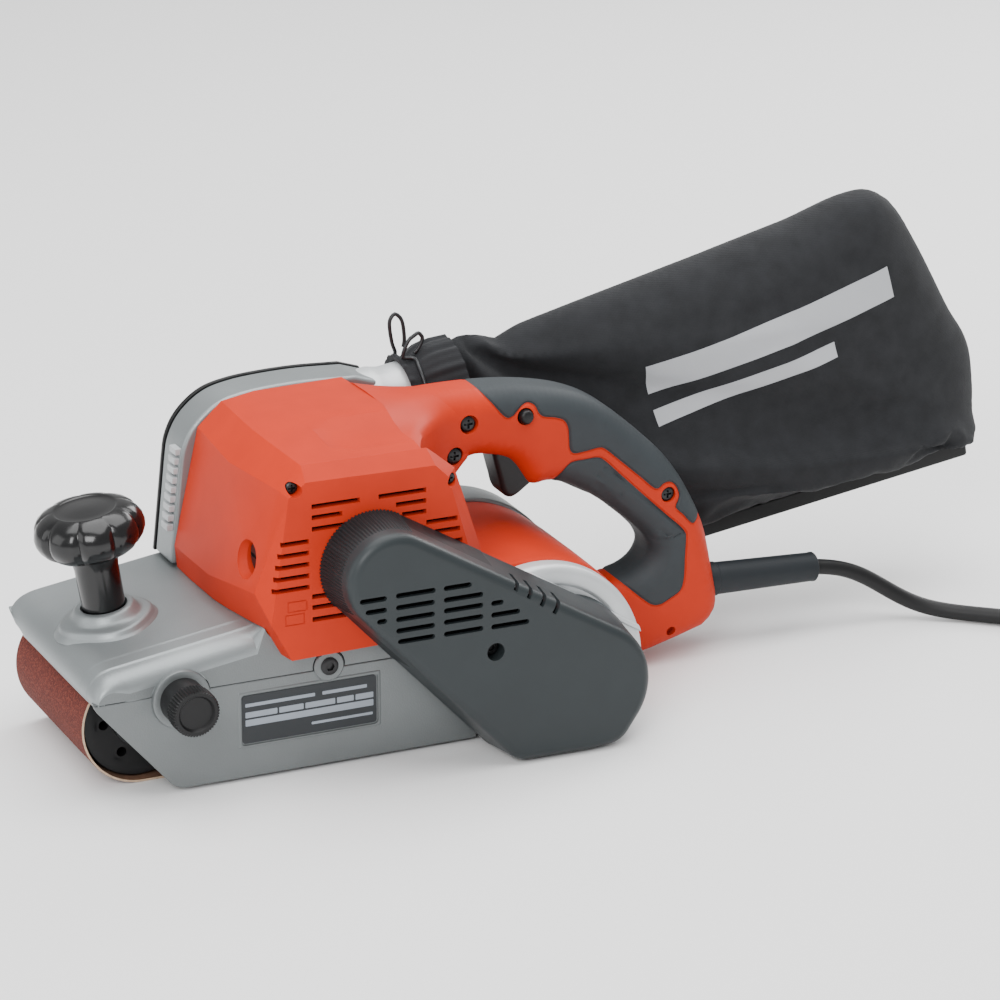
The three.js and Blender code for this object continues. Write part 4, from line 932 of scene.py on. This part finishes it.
def duct():
    x, z = AXLE_X, AXLE_Z
    line = [(62.7, 67.7), (x, z + 36.4), *arc(x, z, 36.4, 90, -6, 24), *arc(x, z, 59.0, -5, 90, 40),
            (62.7, z + 58.6)]
    body = prism("dust_duct_shell", line, 34.4, FAR_Y)
    bevel(body, 2.6, 4)
    dress(body, "cast", replaces="dust_duct", smooth=30)


DUST_TOP = spline([(-51.5, 128), (-49.6, 140), (-44.8, 150.2), (-37, 158.4), (-28, 163.8), (-16, 166.7),
                   (-2, 168), (20, 168.4), (46, 167)], 3.0)
DUST_LINE = [(-57, 79.5), (-56.2, 86), *DUST_TOP, (58, 163), (60, 150), (60, 67.8), (-46, 67.8), (-46, 79.5)]


def dust_housing():
    body = prism("dust_housing_shell", DUST_LINE, 31.4, 55.0)
    bevel(body, 2.2, 4, 40)
    carve(body, [disc("t", 41, 34, 60, *MOTOR), disc("t", 8, 20, 40, *MOTOR)])
    dress(body, "cast", replaces="dust_housing", smooth=30)
    rim_line = [(x + (-0.4 if x < 0 else 0.3), z + (0.4 if z > 100 else 0)) for x, z in DUST_LINE]
    rim = prism("dust_cover_shell", rim_line, 55.3, FAR_Y)
    bevel(rim, 0.8, 3, 40)
    dress(rim, "black", replaces="dust_cover", smooth=30)
    step = [(-1 + (x + 1) * 0.9, 118 + (z - 118) * 0.9) for x, z in DUST_LINE]
    level = prism("dust_cover_step", step, FAR_Y - 0.2, FAR_Y + 0.8)
    bevel(level, 0.7, 3, 40)
    dress(level, "black")
    for i in range(9):
        x, z = -52.5 + i / 8 * 5.5, 99 + i / 8 * 40
        cell = box(f"grille_rib_{i}", x - 5.6, x - 1.2, 33.2, 42.0, z - 1.7, z + 1.7)
        bevel(cell, 0.5, 2)
        dress(cell, "white_grille")


def nozzle_and_clip():
    r = NOZZLE_R
    profile = [(r - 2.2, -18), (r + 2.2, -18), (r + 2.0, -2), (r + 1.2, 0.5), (r + 0.2, 4), (r, 8), (r, 22),
               (r - 0.8, 22.6), (r - 2.2, 22.6), (r - 2.2, -18)]
    spout = turned("dust_nozzle_tube", profile, NOZZLE, NOZZLE_AXIS, 96)
    dress(spout, "silver", replaces="dust_nozzle", smooth=40)
    u, v = Vector((0, 1, 0)), Vector((-math.sin(NOZZLE_TILT), 0, math.cos(NOZZLE_TILT)))
    ring = NOZZLE_R + 3.4
    centre = NOZZLE + NOZZLE_AXIS * 18.6

    def loop(side, lean, height, width):
        """One of the wire's two finger loops, which stands on the ring's top."""
        base = centre + v * ring + u * side
        up = Vector((lean, 0, 1)).normalized()
        shape = [(-width * 0.35, 0), (-width * 0.5, height * 0.25), (-width * 0.5, height * 0.85),
                 (-width * 0.3, height), (0, height + width * 0.22), (width * 0.3, height),
                 (width * 0.5, height * 0.85), (width * 0.5, height * 0.3), (width * 0.35, 2.0)]
        return [base + Vector((1, 0, 0)) * a + up * b for a, b in shape]

    path = loop(6.5, -0.12, 19.0, 7.0)[::-1]
    for i in range(1, 20):
        a = math.pi / 2 - (i / 20) * 2 * math.pi
        path.append(centre + (u * math.cos(a) + v * math.sin(a)) * ring + NOZZLE_AXIS * ((i - 10) * 0.3))
    path += loop(-4.5, 0.5, 12.0, 7.5)
    clip = tube("bag_clip_wire", spline(path, 1.5), 1.05)
    dress(clip, "dark_steel", "bag_group", replaces="bag_clip", smooth=60)


# ------------------------------------------------------------------ handle
HANDLE_OUTER = [(62.5, 165.9), (68, 166.0), (76, 166.2), (92, 166.1), (104, 165.5), (118, 164.1),
                (132, 161.7), (145, 158.4), (156.6, 153.9), (168.2, 147.0), (178.8, 138.3), (190.8, 127.3),
                (202.7, 115.2), (212.0, 102.4), (219.5, 88.8), (224.5, 78.0), (227.9, 67.4), (231.6, 49.6),
                (234.6, 34)]
HANDLE_TAIL = [(234.9, 29), (233.9, 24.2), (230.8, 19.2), (226, 15.2), (212, 11.2), (196, 7.0), (186, 4.8),
               (176, 4.4), (164, 4.4)]
HANDLE_INNER = [(162.6, 20), (162.8, 39), (165.6, 44.8), (171.4, 48.6), (178, 50.6), (185.6, 52.8),
                (191.6, 57.0), (194.6, 63.5), (192.2, 70.5), (186.2, 77.6), (177.8, 85.2), (168.8, 92.9),
                (157.0, 101.2), (144.2, 107.8), (135, 109.9), (128.3, 109.2), (124.6, 110.6), (121.2, 115.4),
                (117.6, 121), (113.4, 125.3), (108, 127.6), (102.8, 128.8), (96.5, 130), (91.6, 129.6),
                (87.6, 127.4), (82, 122), (76.5, 115), (71.2, 104), (66.5, 92), (62.5, 90)]
RUBBER_LINE = [(91.6, 173.5), (93.2, 169.6), (96.4, 165.6), (102.9, 157.4), (107.2, 152.2), (110.0, 150.4),
               (112.8, 151.2), (115.2, 153.6), (118.6, 156.2), (122.0, 156.8), (125.4, 154.6),
               (127.2, 150.8), (129.4, 148.6), (136.5, 146.9), (141.6, 144.6), (143.8, 140.6),
               (144.5, 133.7), (144.9, 128.6), (146.2, 126.4), (148.2, 125.8), (154.5, 126.2),
               (161.6, 127.0), (163.8, 126.5), (174.6, 117.3), (186.2, 106.8), (194.0, 99.9), (196.2, 99.6),
               (198.0, 101.2), (200.6, 102.2), (203.8, 101.6), (207.3, 98.5), (208.7, 93.8), (207.4, 90.4),
               (206.2, 87.9), (211.2, 82.3), (215.4, 77.6), (217.4, 76.8), (222.2, 79.3), (231, 82.5)]
INSERT_LINE = [(137.4, 106.0), (138.6, 111.8), (141.2, 116.6), (144.0, 120.0), (146.4, 121.3), (154, 121.7),
               (160.6, 121.8), (163.2, 120.8), (174.7, 109.8), (187.8, 96.9), (201.0, 84.2), (210.2, 75.4),
               (212.2, 72.4), (212.5, 69.0), (212.1, 60.1), (211.3, 45.6), (209.4, 40.4), (203.1, 36.7),
               (197.6, 34.4), (193.2, 35.0), (188.4, 38.5), (176.7, 49.0), (169.6, 55.4), (166, 58.6)]
HANDLE_HALF = 17.5
HANDLE_EDGE = 12.5
SEAM_HALF, SEAM_ROUND = 0.55, 0.9
GRIP_RIBS = [
    [(158.3, 108.7), (162.7, 104.3), (193.9, 71.0), (197.3, 69.3)],
    [(160.6, 112.6), (166.6, 107.5), (201.9, 72.4)],
    [(164.9, 116.1), (174.5, 107.7), (210.5, 74.2)],
    [(194.9, 70.0), (203.9, 70.8), (211.7, 73.2)],
]
RIB_DEPTH, RIB_HALF = 0.9, 0.9
ON_TOP_RUBBER, ON_INSERT = (150, 150), (202, 60)


def edge_round(dist, r):
    """How far an edge of radius r falls back at a distance from the outline."""
    d = np.minimum(np.maximum(dist, 0), r)
    return r * (1 - np.sqrt(np.maximum(1 - (1 - d / r) ** 2, 0)))


def split(region, line, point):
    """A closed outline cut in two by an open line across it: the piece that holds point, then the other."""
    region = divide(region, 1.2)
    line = divide(line, 0.8, closed=False)

    def crossing(a, b, c, d):
        r, s = np.subtract(b, a), np.subtract(d, c)
        den = r[0] * s[1] - r[1] * s[0]
        if abs(den) < 1e-12:
            return None
        t = ((c[0] - a[0]) * s[1] - (c[1] - a[1]) * s[0]) / den
        u = ((c[0] - a[0]) * r[1] - (c[1] - a[1]) * r[0]) / den
        return (t, u) if 0 <= t < 1 and 0 <= u < 1 else None

    hits = []
    for i in range(len(line) - 1):
        for j in range(len(region)):
            hit = crossing(line[i], line[i + 1], region[j], region[(j + 1) % len(region)])
            if hit:
                hits.append((i, hit[0], j))
    (i0, t0, j0), (i1, t1, j1) = hits[0], hits[-1]

    def at(i, t):
        return tuple(np.add(line[i], np.multiply(np.subtract(line[i + 1], line[i]), t)))

    inner = [at(i0, t0), *line[i0 + 1 : i1 + 1], at(i1, t1)]
    n = len(region)
    one = [region[(j1 + 1 + k) % n] for k in range((j0 - j1) % n)]
    two = [region[(j0 + 1 + k) % n] for k in range((j1 - j0) % n)]
    pieces = inner + one, inner[::-1] + two
    return pieces if inside(np.array([point]), pieces[:1])[0] else pieces[::-1]


def shrink(loop, by):
    """The loop moved in by a small distance."""
    a = np.array(loop)
    area = np.sum(a[:, 0] * np.roll(a[:, 1], -1) - np.roll(a[:, 0], -1) * a[:, 1])
    t = np.roll(a, -1, 0) - np.roll(a, 1, 0)
    n = np.stack([-t[:, 1], t[:, 0]], 1) / np.maximum(np.linalg.norm(t, axis=1), 1e-9)[:, None]
    return [tuple(p) for p in a + n * (by if area > 0 else -by)]


def grip_grooves(pts):
    """How deep the grooves along the grip's palm side are at some points."""
    return RIB_DEPTH * np.clip(1 - (distance(pts, GRIP_RIBS, closed=False) / RIB_HALF) ** 2, 0, 1)


def handle_shell(name, region, outline, seams, raise_by=0.0, grooved=False, spacing=4.0):
    """A handle moulding between both faces.

    Its section rounds over at the handle's own outline, and steps down at the seams.
    """
    def half_width(pts):
        half = HANDLE_HALF - edge_round(distance(pts, [outline]), HANDLE_EDGE) + raise_by
        half -= edge_round(distance(pts, seams, closed=False) - SEAM_HALF, SEAM_ROUND)
        if grooved:
            half -= grip_grooves(pts)
        return np.maximum(half, 0.4)

    return pillow(name, [region], lambda pts, _: -half_width(pts), lambda pts, _: half_width(pts), step=1.3,
                  spacing=spacing)


def handle():
    outline = divide(spline(HANDLE_OUTER, 4.0), 4.0, closed=False)
    outline += [*HANDLE_TAIL, HANDLE_INNER[0], *spline(HANDLE_INNER[1:], 3.0)]
    outline = [p for k, p in enumerate(outline) if k == 0 or math.dist(p, outline[k - 1]) > 0.3]
    rubber_seam, insert_seam = spline(RUBBER_LINE, 1.5), spline(INSERT_LINE, 1.5)
    top, rest = split(outline, rubber_seam, ON_TOP_RUBBER)
    insert, body = split(rest, insert_seam, ON_INSERT)
    top = handle_shell("grip_top_rubber", shrink(top, 0.02), outline, [rubber_seam], raise_by=0.35)
    dress(top, "rubber", replaces="grip_top", smooth=50)
    insert = handle_shell("grip_inner_rubber", shrink(insert, 0.02), outline, [insert_seam], raise_by=0.25,
                          grooved=True, spacing=1.1)
    dress(insert, "rubber", replaces="grip_inner", smooth=50)
    body = handle_shell("handle_shell", body, outline, [rubber_seam, insert_seam])
    tools = [*neck_recesses(30), recess(REAR_SCREW, [(4.4, -30), (4.2, 3.6)]),
             recess((204.4, 18.2), [(2.9, -30), (2.6, 6)], segments=32),
             recess(LOCK_BUTTON, [(4.7, -30), (4.5, 9.0)])]
    carve(body, tools)
    dress(body, "orange", replaces=("handle_left", "handle_right"), smooth=35)


def recess(at, profile, y=-HANDLE_HALF, segments=40):
    """A tool for a round hollow in the handle's near face. profile holds (radius, depth below y)."""
    profile = [(0, profile[0][1]), *profile, (0, profile[-1][1])]
    return turned("t", profile, (at[0], y, at[1]), (0, 1, 0), segments)


def neck_recesses(reach):
    """Tools for the hollows of the two screws at the handle's neck."""
    profile = [(5.2, -reach), (5.0, 0), (4.7, 3.6)]
    return [recess(at, profile, y) for at, y in zip(HANDLE_SCREWS, (-17.5, -18.0))]


SHOULDER = [
    ((31.0, 134), (15.0, 134)), ((31.0, 158), (17.3, 150)), ((30.0, 163.5), (15.6, 158.4)),
    ((26.0, 166.8), (12.0, 163.0)), ((16.0, 169.2), (6.0, 165.6)), ((0.0, 169.9), (0.0, 165.9)),
    ((-10.0, 169.9), (-4.0, 165.8)), ((-20.0, 169.6), (-7.0, 165.4)), ((-30.0, 167.4), (-9.5, 164.6)),
    ((-38.0, 164.7), (-11.6, 163.4)), ((-46.0, 163.0), (-13.4, 161.8)), ((-54.0, 162.3), (-14.9, 160.0)),
    ((-62.0, 162.5), (-16.1, 158.0)), ((-71.0, 161.0), (-16.9, 155.4)), ((-72.6, 157.0), (-17.3, 152.0)),
    ((-73.0, 150.0), (-17.3, 141.0)), ((-73.0, 134.0), (-15.0, 134.0)),
]
SHOULDER_X0, SHOULDER_X1 = 38.0, 88.0


def shoulder():
    """The housing's back, drawn in to the handle's neck in one hollow curve."""
    rings = []
    steps = 24
    for i in range(steps + 1):
        t = i / steps
        w = (1 - t) ** 2.3
        x = SHOULDER_X0 + (SHOULDER_X1 - SHOULDER_X0) * t
        ring = [(x, a[0] * w + b[0] * (1 - w), a[1] * w + b[1] * (1 - w)) for a, b in SHOULDER]
        low = 122.0 + max(x - 79, 0) * 1.05
        for k in (0, -1):
            ring[k] = (x, ring[k][1], low)
        rings.append(ring)
    piece = loft("handle_shoulder", rings)
    carve(piece, neck_recesses(60))
    dress(piece, "orange", smooth=40)


def trigger_and_button():
    outline = spline([(107, 133), (105.6, 128.6), (107.2, 121), (109.2, 113.6), (110.8, 107.6),
                      (112.8, 104.6), (115.6, 103.6), (118.8, 104.6), (123.6, 107.8), (128.4, 111.4),
                      (131, 114.5), (131, 131), (107, 133)], 2.0)[:-1]

    def half(edge):
        return np.maximum(9.2 - edge_round(edge, 2.6), 0.5)

    piece = pillow("trigger_body", [outline], lambda _, edge: -half(edge), lambda _, edge: half(edge),
                   step=1.2, rows=(0.25, 0.6, 1.1, 1.8, 2.6), spacing=3.0)
    dress(piece, "trigger", "trigger", replaces="trigger", smooth=50)
    profile = [(0, -20.6), (2.2, -20.5), (3.2, -20.1), (3.8, -19.2), (3.85, -13.5), (0, -13.5)]
    button = lathe("lock_button_cap", profile, LOCK_BUTTON, 40)
    dress(button, "black", "lock_button", replaces="lock_button")


# ------------------------------------------------------------------ dust bag
BAG_LINE = [(97, 163), (104.5, 173.2), (122, 181), (147, 188.2), (173, 194), (208, 201.6), (240, 208.8),
            (272, 216.4), (304, 224), (330, 230), (352, 233.6), (366, 233), (380, 223), (393.5, 202),
            (405, 181), (416, 160), (425.5, 144.5), (429.6, 132), (430, 112), (428, 92), (421, 80),
            (409, 70.5), (382, 66), (340, 60), (290, 53.4), (246, 47.5), (216, 63.5), (180, 82.8),
            (140, 106), (112, 124), (100, 133), (96.5, 142)]
BAG_FULL, BAG_ROUND = 27.0, 42.0
NECK_X, NECK_Z, NECK_R = 92, 152, 18.6
BAG_END_X = 433.0
CLOTH_REACH = 14.0
BAR_SLOPE = math.atan2(25.5, 173)


def bag():
    """Two layers of cloth, joined round their edge and gathered on the nozzle.

    Pressure and shrinking then give them folds.
    """
    loop = divide(spline([*BAG_LINE, BAG_LINE[0]], 6.0)[:-1], 5.2)
    pts, tris, edge = patch([loop], step=5.2, rows=(2.2, 5.4), spacing=5.4)
    x, z = pts[:, 0], pts[:, 1]
    full = np.maximum(BAG_FULL * np.clip((x - NECK_X) / 150, 0, 1) ** 0.5, 9.0)
    thick = full * np.sqrt(1 - (1 - np.clip(edge / BAG_ROUND, 0, 1)) ** 2)
    axis_z = NECK_Z + (x - NECK_X) * math.tan(NOZZLE_TILT)
    collar = np.clip((118 - x) / 24, 0, 1)
    ring = np.sqrt(np.clip(NECK_R**2 - (z - axis_z) ** 2, 0, None))
    thick = thick * (1 - collar) + np.minimum(ring, thick + ring * collar) * collar
    middle = BAG_Y + (NOZZLE.y - BAG_Y) * np.clip((150 - x) / 58, 0, 1)
    n = len(pts)
    rim = {i for pair in open_edges(tris) for i in pair}
    thick[list(rim)] = 0
    verts = [*zip(x, middle - thick, z), *zip(x, middle + thick, z)]
    back = [i if i in rim else n + i for i in range(n)]
    faces = [*tris, *[(back[c], back[b], back[a]) for a, b, c in tris]]
    piece = build("dust_bag_cloth", *keep_used(verts, faces), merge=False)
    simulate_bag(piece)
    sub = piece.modifiers.new("smooth", "SUBSURF")
    sub.levels = sub.render_levels = 1
    settle(piece)
    dress(piece, "bag", "bag_group", replaces="dust_bag", smooth=180, weighted=False)
    bag_neck()


def bag_neck():
    """The cloth's mouth, gathered in pleats round the nozzle under the clip's ring."""
    profile = [(20.4, 13.2), (20.9, 14.0), (20.3, 15.6), (18.9, 17.2), (18.6, 18.6), (19.0, 20.0),
               (20.8, 23), (22.6, 28), (23.4, 34), (22.8, 44), (21.5, 44), (18.1, 30), (17.6, 20),
               (17.6, 14.0), (20.4, 13.2)]
    pleats = [1, 1, 0.8, 0.3, 0.15, 0.25, 0.7, 1, 1.1, 1, 0, 0, 0, 0, 1]

    def shape(a, k):
        wave = 0.5 * math.sin(17 * a) + 0.3 * math.sin(29 * a + 1.3) + 0.2 * math.sin(7 * a + 0.4)
        return 1 + 0.035 * wave * pleats[k]

    neck = turned("dust_bag_neck", profile, NOZZLE, NOZZLE_AXIS, 240, shape)
    dress(neck, "bag", "bag_group", smooth=60, weighted=False)


def simulate_bag(piece):
    """Fills the bag with air for a moment, held at its neck and along its bar."""
    mesh = piece.data
    pins = piece.vertex_groups.new(name="held")
    for v in mesh.vertices:
        x, z = v.co.x / MM, v.co.z / MM
        if x < 112:
            pins.add([v.index], 1.0, "REPLACE")
        elif x > 246 and z < 53.5 + (x - 246) * 0.147:
            pins.add([v.index], 0.85, "REPLACE")
    start = np.array([v.co[:] for v in mesh.vertices])
    mod = piece.modifiers.new("cloth", "CLOTH")
    cloth = mod.settings
    cloth.quality = 6
    cloth.mass = 0.3
    cloth.tension_stiffness = cloth.compression_stiffness = 18
    cloth.shear_stiffness = 6
    cloth.bending_stiffness = 0.35
    cloth.use_pressure = True
    cloth.uniform_pressure_force = 1.2
    cloth.shrink_min = -0.045
    cloth.vertex_group_mass = "held"
    cloth.effector_weights.gravity = 0.35
    cloth.pin_stiffness = 1
    mod.collision_settings.use_collision = False
    mod.collision_settings.use_self_collision = False
    mod.point_cache.frame_start, mod.point_cache.frame_end = 1, 40
    scene = bpy.context.scene
    for k in range(1, 36):
        scene.frame_set(k)
    settle(piece)
    mesh = piece.data
    moved = np.array([v.co[:] for v in mesh.vertices]) - start
    length = np.linalg.norm(moved, axis=1)
    reach = CLOTH_REACH * MM
    scale = np.where(length > reach, reach / np.maximum(length, 1e-9), 1.0)
    placed = start + moved * scale[:, None]
    placed[:, 0] = np.minimum(placed[:, 0], BAG_END_X * MM)
    mesh.vertices.foreach_set("co", placed.ravel())
    mesh.update()
    scene.frame_set(1)


def bag_bar():
    u = Vector((math.cos(BAR_SLOPE), 0, math.sin(BAR_SLOPE)))
    w = Vector((-math.sin(BAR_SLOPE), 0, math.cos(BAR_SLOPE)))
    base = Vector((244, 56, 40.3))
    section = [(-4.2, -2.2), (-3.9, -2.5), (3.9, -2.5), (4.2, -2.2), (4.5, -1.6), (4.5, 5.2), (4.2, 5.9),
               (3.4, 6.0), (2.0, 5.9), (1.7, 5.4), (1.7, -0.4), (-1.7, -0.4), (-1.7, 5.4), (-2.0, 5.9),
               (-3.4, 6.0), (-4.2, 5.9), (-4.5, 5.2), (-4.5, -1.6)]
    rings = []
    for t, s in ((0, 0.86), (0.6, 0.97), (1.4, 1), (176.6, 1), (177.4, 0.97), (178, 0.86)):
        rings.append([base + u * t + Vector((0, 1,
                                             0)) * (a * s) + w * (1.75 + (b - 1.75) * s) for a, b in section])
    dress(loft("bag_slide_bar_rail", rings), "black", "bag_bar", replaces="bag_slide_bar",
          smooth=35)


# ------------------------------------------------------------------ cord, guard and plug
COIL_INNER, COIL_OUTER, COIL_PITCH = 40.3, 61.3, 8.6
COIL_START, COIL_END = 20.0, -45.0
COIL_TURNS = 5 + (COIL_START - COIL_END) / 360
CLIMB = 0.3
PIN_APART = 9.6


def coil_points():
    """The wound lead, clockwise: in along the floor, up by one turn's height, and out again on top."""
    per_turn = 20
    reach = (COIL_TURNS - CLIMB) / 2
    count = round(per_turn * COIL_TURNS)
    out = []
    for i in range(count + 1):
        t = COIL_TURNS * i / count
        inward = min(t, reach)
        outward = max(0.0, t - reach - CLIMB)
        rise = min(max((t - reach) / CLIMB, 0.0), 1.0)
        r = COIL_OUTER + (COIL_INNER - COIL_OUTER) * (inward - outward) / reach
        z = 4.6 + COIL_PITCH * rise * rise * (3 - 2 * rise)
        a = math.radians(COIL_START - 360 * t)
        out.append((COIL.x + r * math.cos(a), COIL.y + r * math.sin(a), z))
    return out


CORD_ROUTE = [(290, 0, 34.9), (298, 0, 34.6), (312, -1, 32.5), (327, -3, 26), (341, -7, 16), (355, -13, 7.6),
              (370, -22, 4.6), (386, -35, 4.6), (404, -50, 4.6), (421, -65, 4.6), (437, -80, 4.6),
              (456, -101.5, 4.6)]


def cord():
    coil = coil_points()
    lead_out = [(COIL.x + 33, COIL.y - 53.5, 13.0), (COIL.x + 24, COIL.y - 62, 12.4),
                (COIL.x + 14, COIL.y - 69.5, 11.2), (COIL.x + 4, COIL.y - 75, 10.3),
                (COIL.x - 8, COIL.y - 77.2, 10.0)]
    points = [*CORD_ROUTE, *coil, *lead_out]
    curve = bpy.data.curves.new("mains_cord", "CURVE")
    curve.dimensions = "3D"
    line = curve.splines.new("NURBS")
    line.points.add(len(points) - 1)
    for p, co in zip(line.points, points):
        p.co = (*[c * MM for c in co], 1)
    line.order_u = 4
    line.use_endpoint_u = True
    line.resolution_u = 6
    curve.bevel_depth = CORD_D / 2 * MM
    curve.bevel_resolution = 4
    curve.use_fill_caps = True
    obj = put("mains_cord", curve)
    curve.materials.append(M["cord"])
    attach(obj, BODY)
    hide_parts("cord", "cord_coil")
    middle = COIL.x + (COIL_INNER + COIL_OUTER) / 2
    half = (COIL_OUTER - COIL_INNER) / 2 + CORD_D / 2
    low, high = 0.1, 2 * COIL_PITCH + 2.2
    rings = [[(x, y, z) for x, z in round_rect(middle - half - 1.6, middle + half + 1.6, low, high, 4)]
             for y in (COIL.y - 4, COIL.y - 3.4, COIL.y + 3.4, COIL.y + 4)]
    tie = loft("cord_tie", rings)
    carve(tie, [prism("t", round_rect(middle - half - 0.7, middle + half + 0.7, low + 0.25, high - 0.9, 3.4),
                      COIL.y - 10, COIL.y + 10)])
    dress(tie, "black_matte", BODY, smooth=50)
    x0, x1 = COIL.x - 38, COIL.x - 2
    plug_y = COIL.y - 77.25
    section, body_rings = round_rect(-9.6, 9.6, -9.4, 9.4, 4.5), []
    for x, size in ((x0, 0.82), (x0 + 1.2, 0.93), (x0 + 3, 1.0), (x0 + 14, 1.0), (x0 + 17, 0.9),
                    (x0 + 21, 0.7), (x0 + 26, 0.58), (x0 + 31, 0.53), (x1, 0.5)):
        body_rings.append([(x, plug_y + a * size, 10 + b * size) for a, b in section])
    plug = loft("cord_plug_body", body_rings)
    dress(plug, "cord", BODY, replaces="cord_plug", smooth=50)
    for i, y in enumerate((plug_y - PIN_APART / 2, plug_y + PIN_APART / 2)):
        pin = box(f"cord_plug_pin_{i}", x0 - 18, x0 + 1, y - 0.75, y + 0.75, 7, 13.2)
        bevel(pin, 0.4, 2)
        dress(pin, "steel", BODY, smooth=40)
    guard = cord_guard()


def cord_guard():
    path = [Vector((232, 0, 37.2)), GUARD_TIP]
    d = (path[1] - path[0]).normalized()
    length = (path[1] - path[0]).length
    profile = [(0, 0), (9.2, 0), (9.2, 5.6), (8.7, 6.2)]
    profile += [(8.7 - 0.9 * t, 6.2 + (length - 8.4) * t) for t in (0.2, 0.4, 0.6, 0.8, 1.0)]
    profile += [(8.0, length - 1.6), (8.0, length - 0.6), (7.5, length), (4.8, length), (4.6, length - 4),
                (0, length - 4)]
    guard = turned("cord_guard_sleeve", profile, path[0], d, 48)
    return dress(guard, "guard", BODY, replaces="cord_guard", smooth=35)


# ------------------------------------------------------------------ what stays from CAD
CAD_LOOKS = {
    "cork": ["cork_pad"],
    "steel": ["sole_plate", "drive_shaft", "front_axle", "pinion_shaft", "tension_spring", "roller_bearing",
              "ring_gear",
              "pinion_bearing", "motor_bearing"],
    "dark_steel": ["tension_lever", "stator", "armature"],
    "copper": ["commutator"],
    "black": ["cooling_fan", "dust_fan", "driven_pulley", "drive_belt", "brush_holder_front",
              "brush_holder_rear",
              "switch_body", "drive_roller"],
    "cast_dull": ["front_fork", "tension_slider", "motor_pulley"],
}


def carry_over():
    """Materials for the CAD nodes that no mesh here replaces."""
    looks = {node: mat for mat, nodes in CAD_LOOKS.items() for node in nodes}
    for name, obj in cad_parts.items():
        mat = looks.get(name, "cord" if "cord" in name else "black")
        obj.data.materials.clear()
        obj.data.materials.append(M[mat])


# ------------------------------------------------------------------ stage
def stage():
    floor = build("floor", [(-6000, -4000, -0.05), (6000, -4000, -0.05), (6000, 9000, -0.05),
                            (-6000, 9000, -0.05)], [(0, 1, 2, 3)])
    mat = material("floor", (0.86, 0.86, 0.86), 0.6, bump=0.0, mottle=0.004, mottle_scale=3)
    floor.data.materials.append(mat)
    lights = [
        ("key", (-1300, -1700, 1500), 1200, 48),
        ("fill", (-2200, 200, 900), 1500, 14),
        ("top", (200, 100, 2100), 2400, 80),
        ("rim", (1500, 900, 1000), 1000, 20),
    ]
    aim = Vector((100, 0, 90)) * MM
    for name, at, size, power in lights:
        data = bpy.data.lights.new(name, "AREA")
        data.shape, data.size, data.energy = "SQUARE", size * MM, power
        obj = put(name, data)
        obj.location = Vector(at) * MM
        obj.rotation_euler = (aim - obj.location).to_track_quat("-Z", "Y").to_euler()
    world = bpy.context.scene.world or bpy.data.worlds.new("world")
    bpy.context.scene.world = world
    world.use_nodes = True
    sky = world.node_tree.nodes["Background"].inputs
    sky["Color"].default_value = (1, 1, 1, 1)
    sky["Strength"].default_value = 0.62


cord()
carry_over()
motor_housing()
belt_cover()
frame_casting()
side_plate()
front_knob()
tracking_knob()
screws()
sanding_belt()
front_roller()
gear_case()
fender()
duct()
dust_housing()
nozzle_and_clip()
handle()
shoulder()
trigger_and_button()
bag()
bag_bar()
stage()
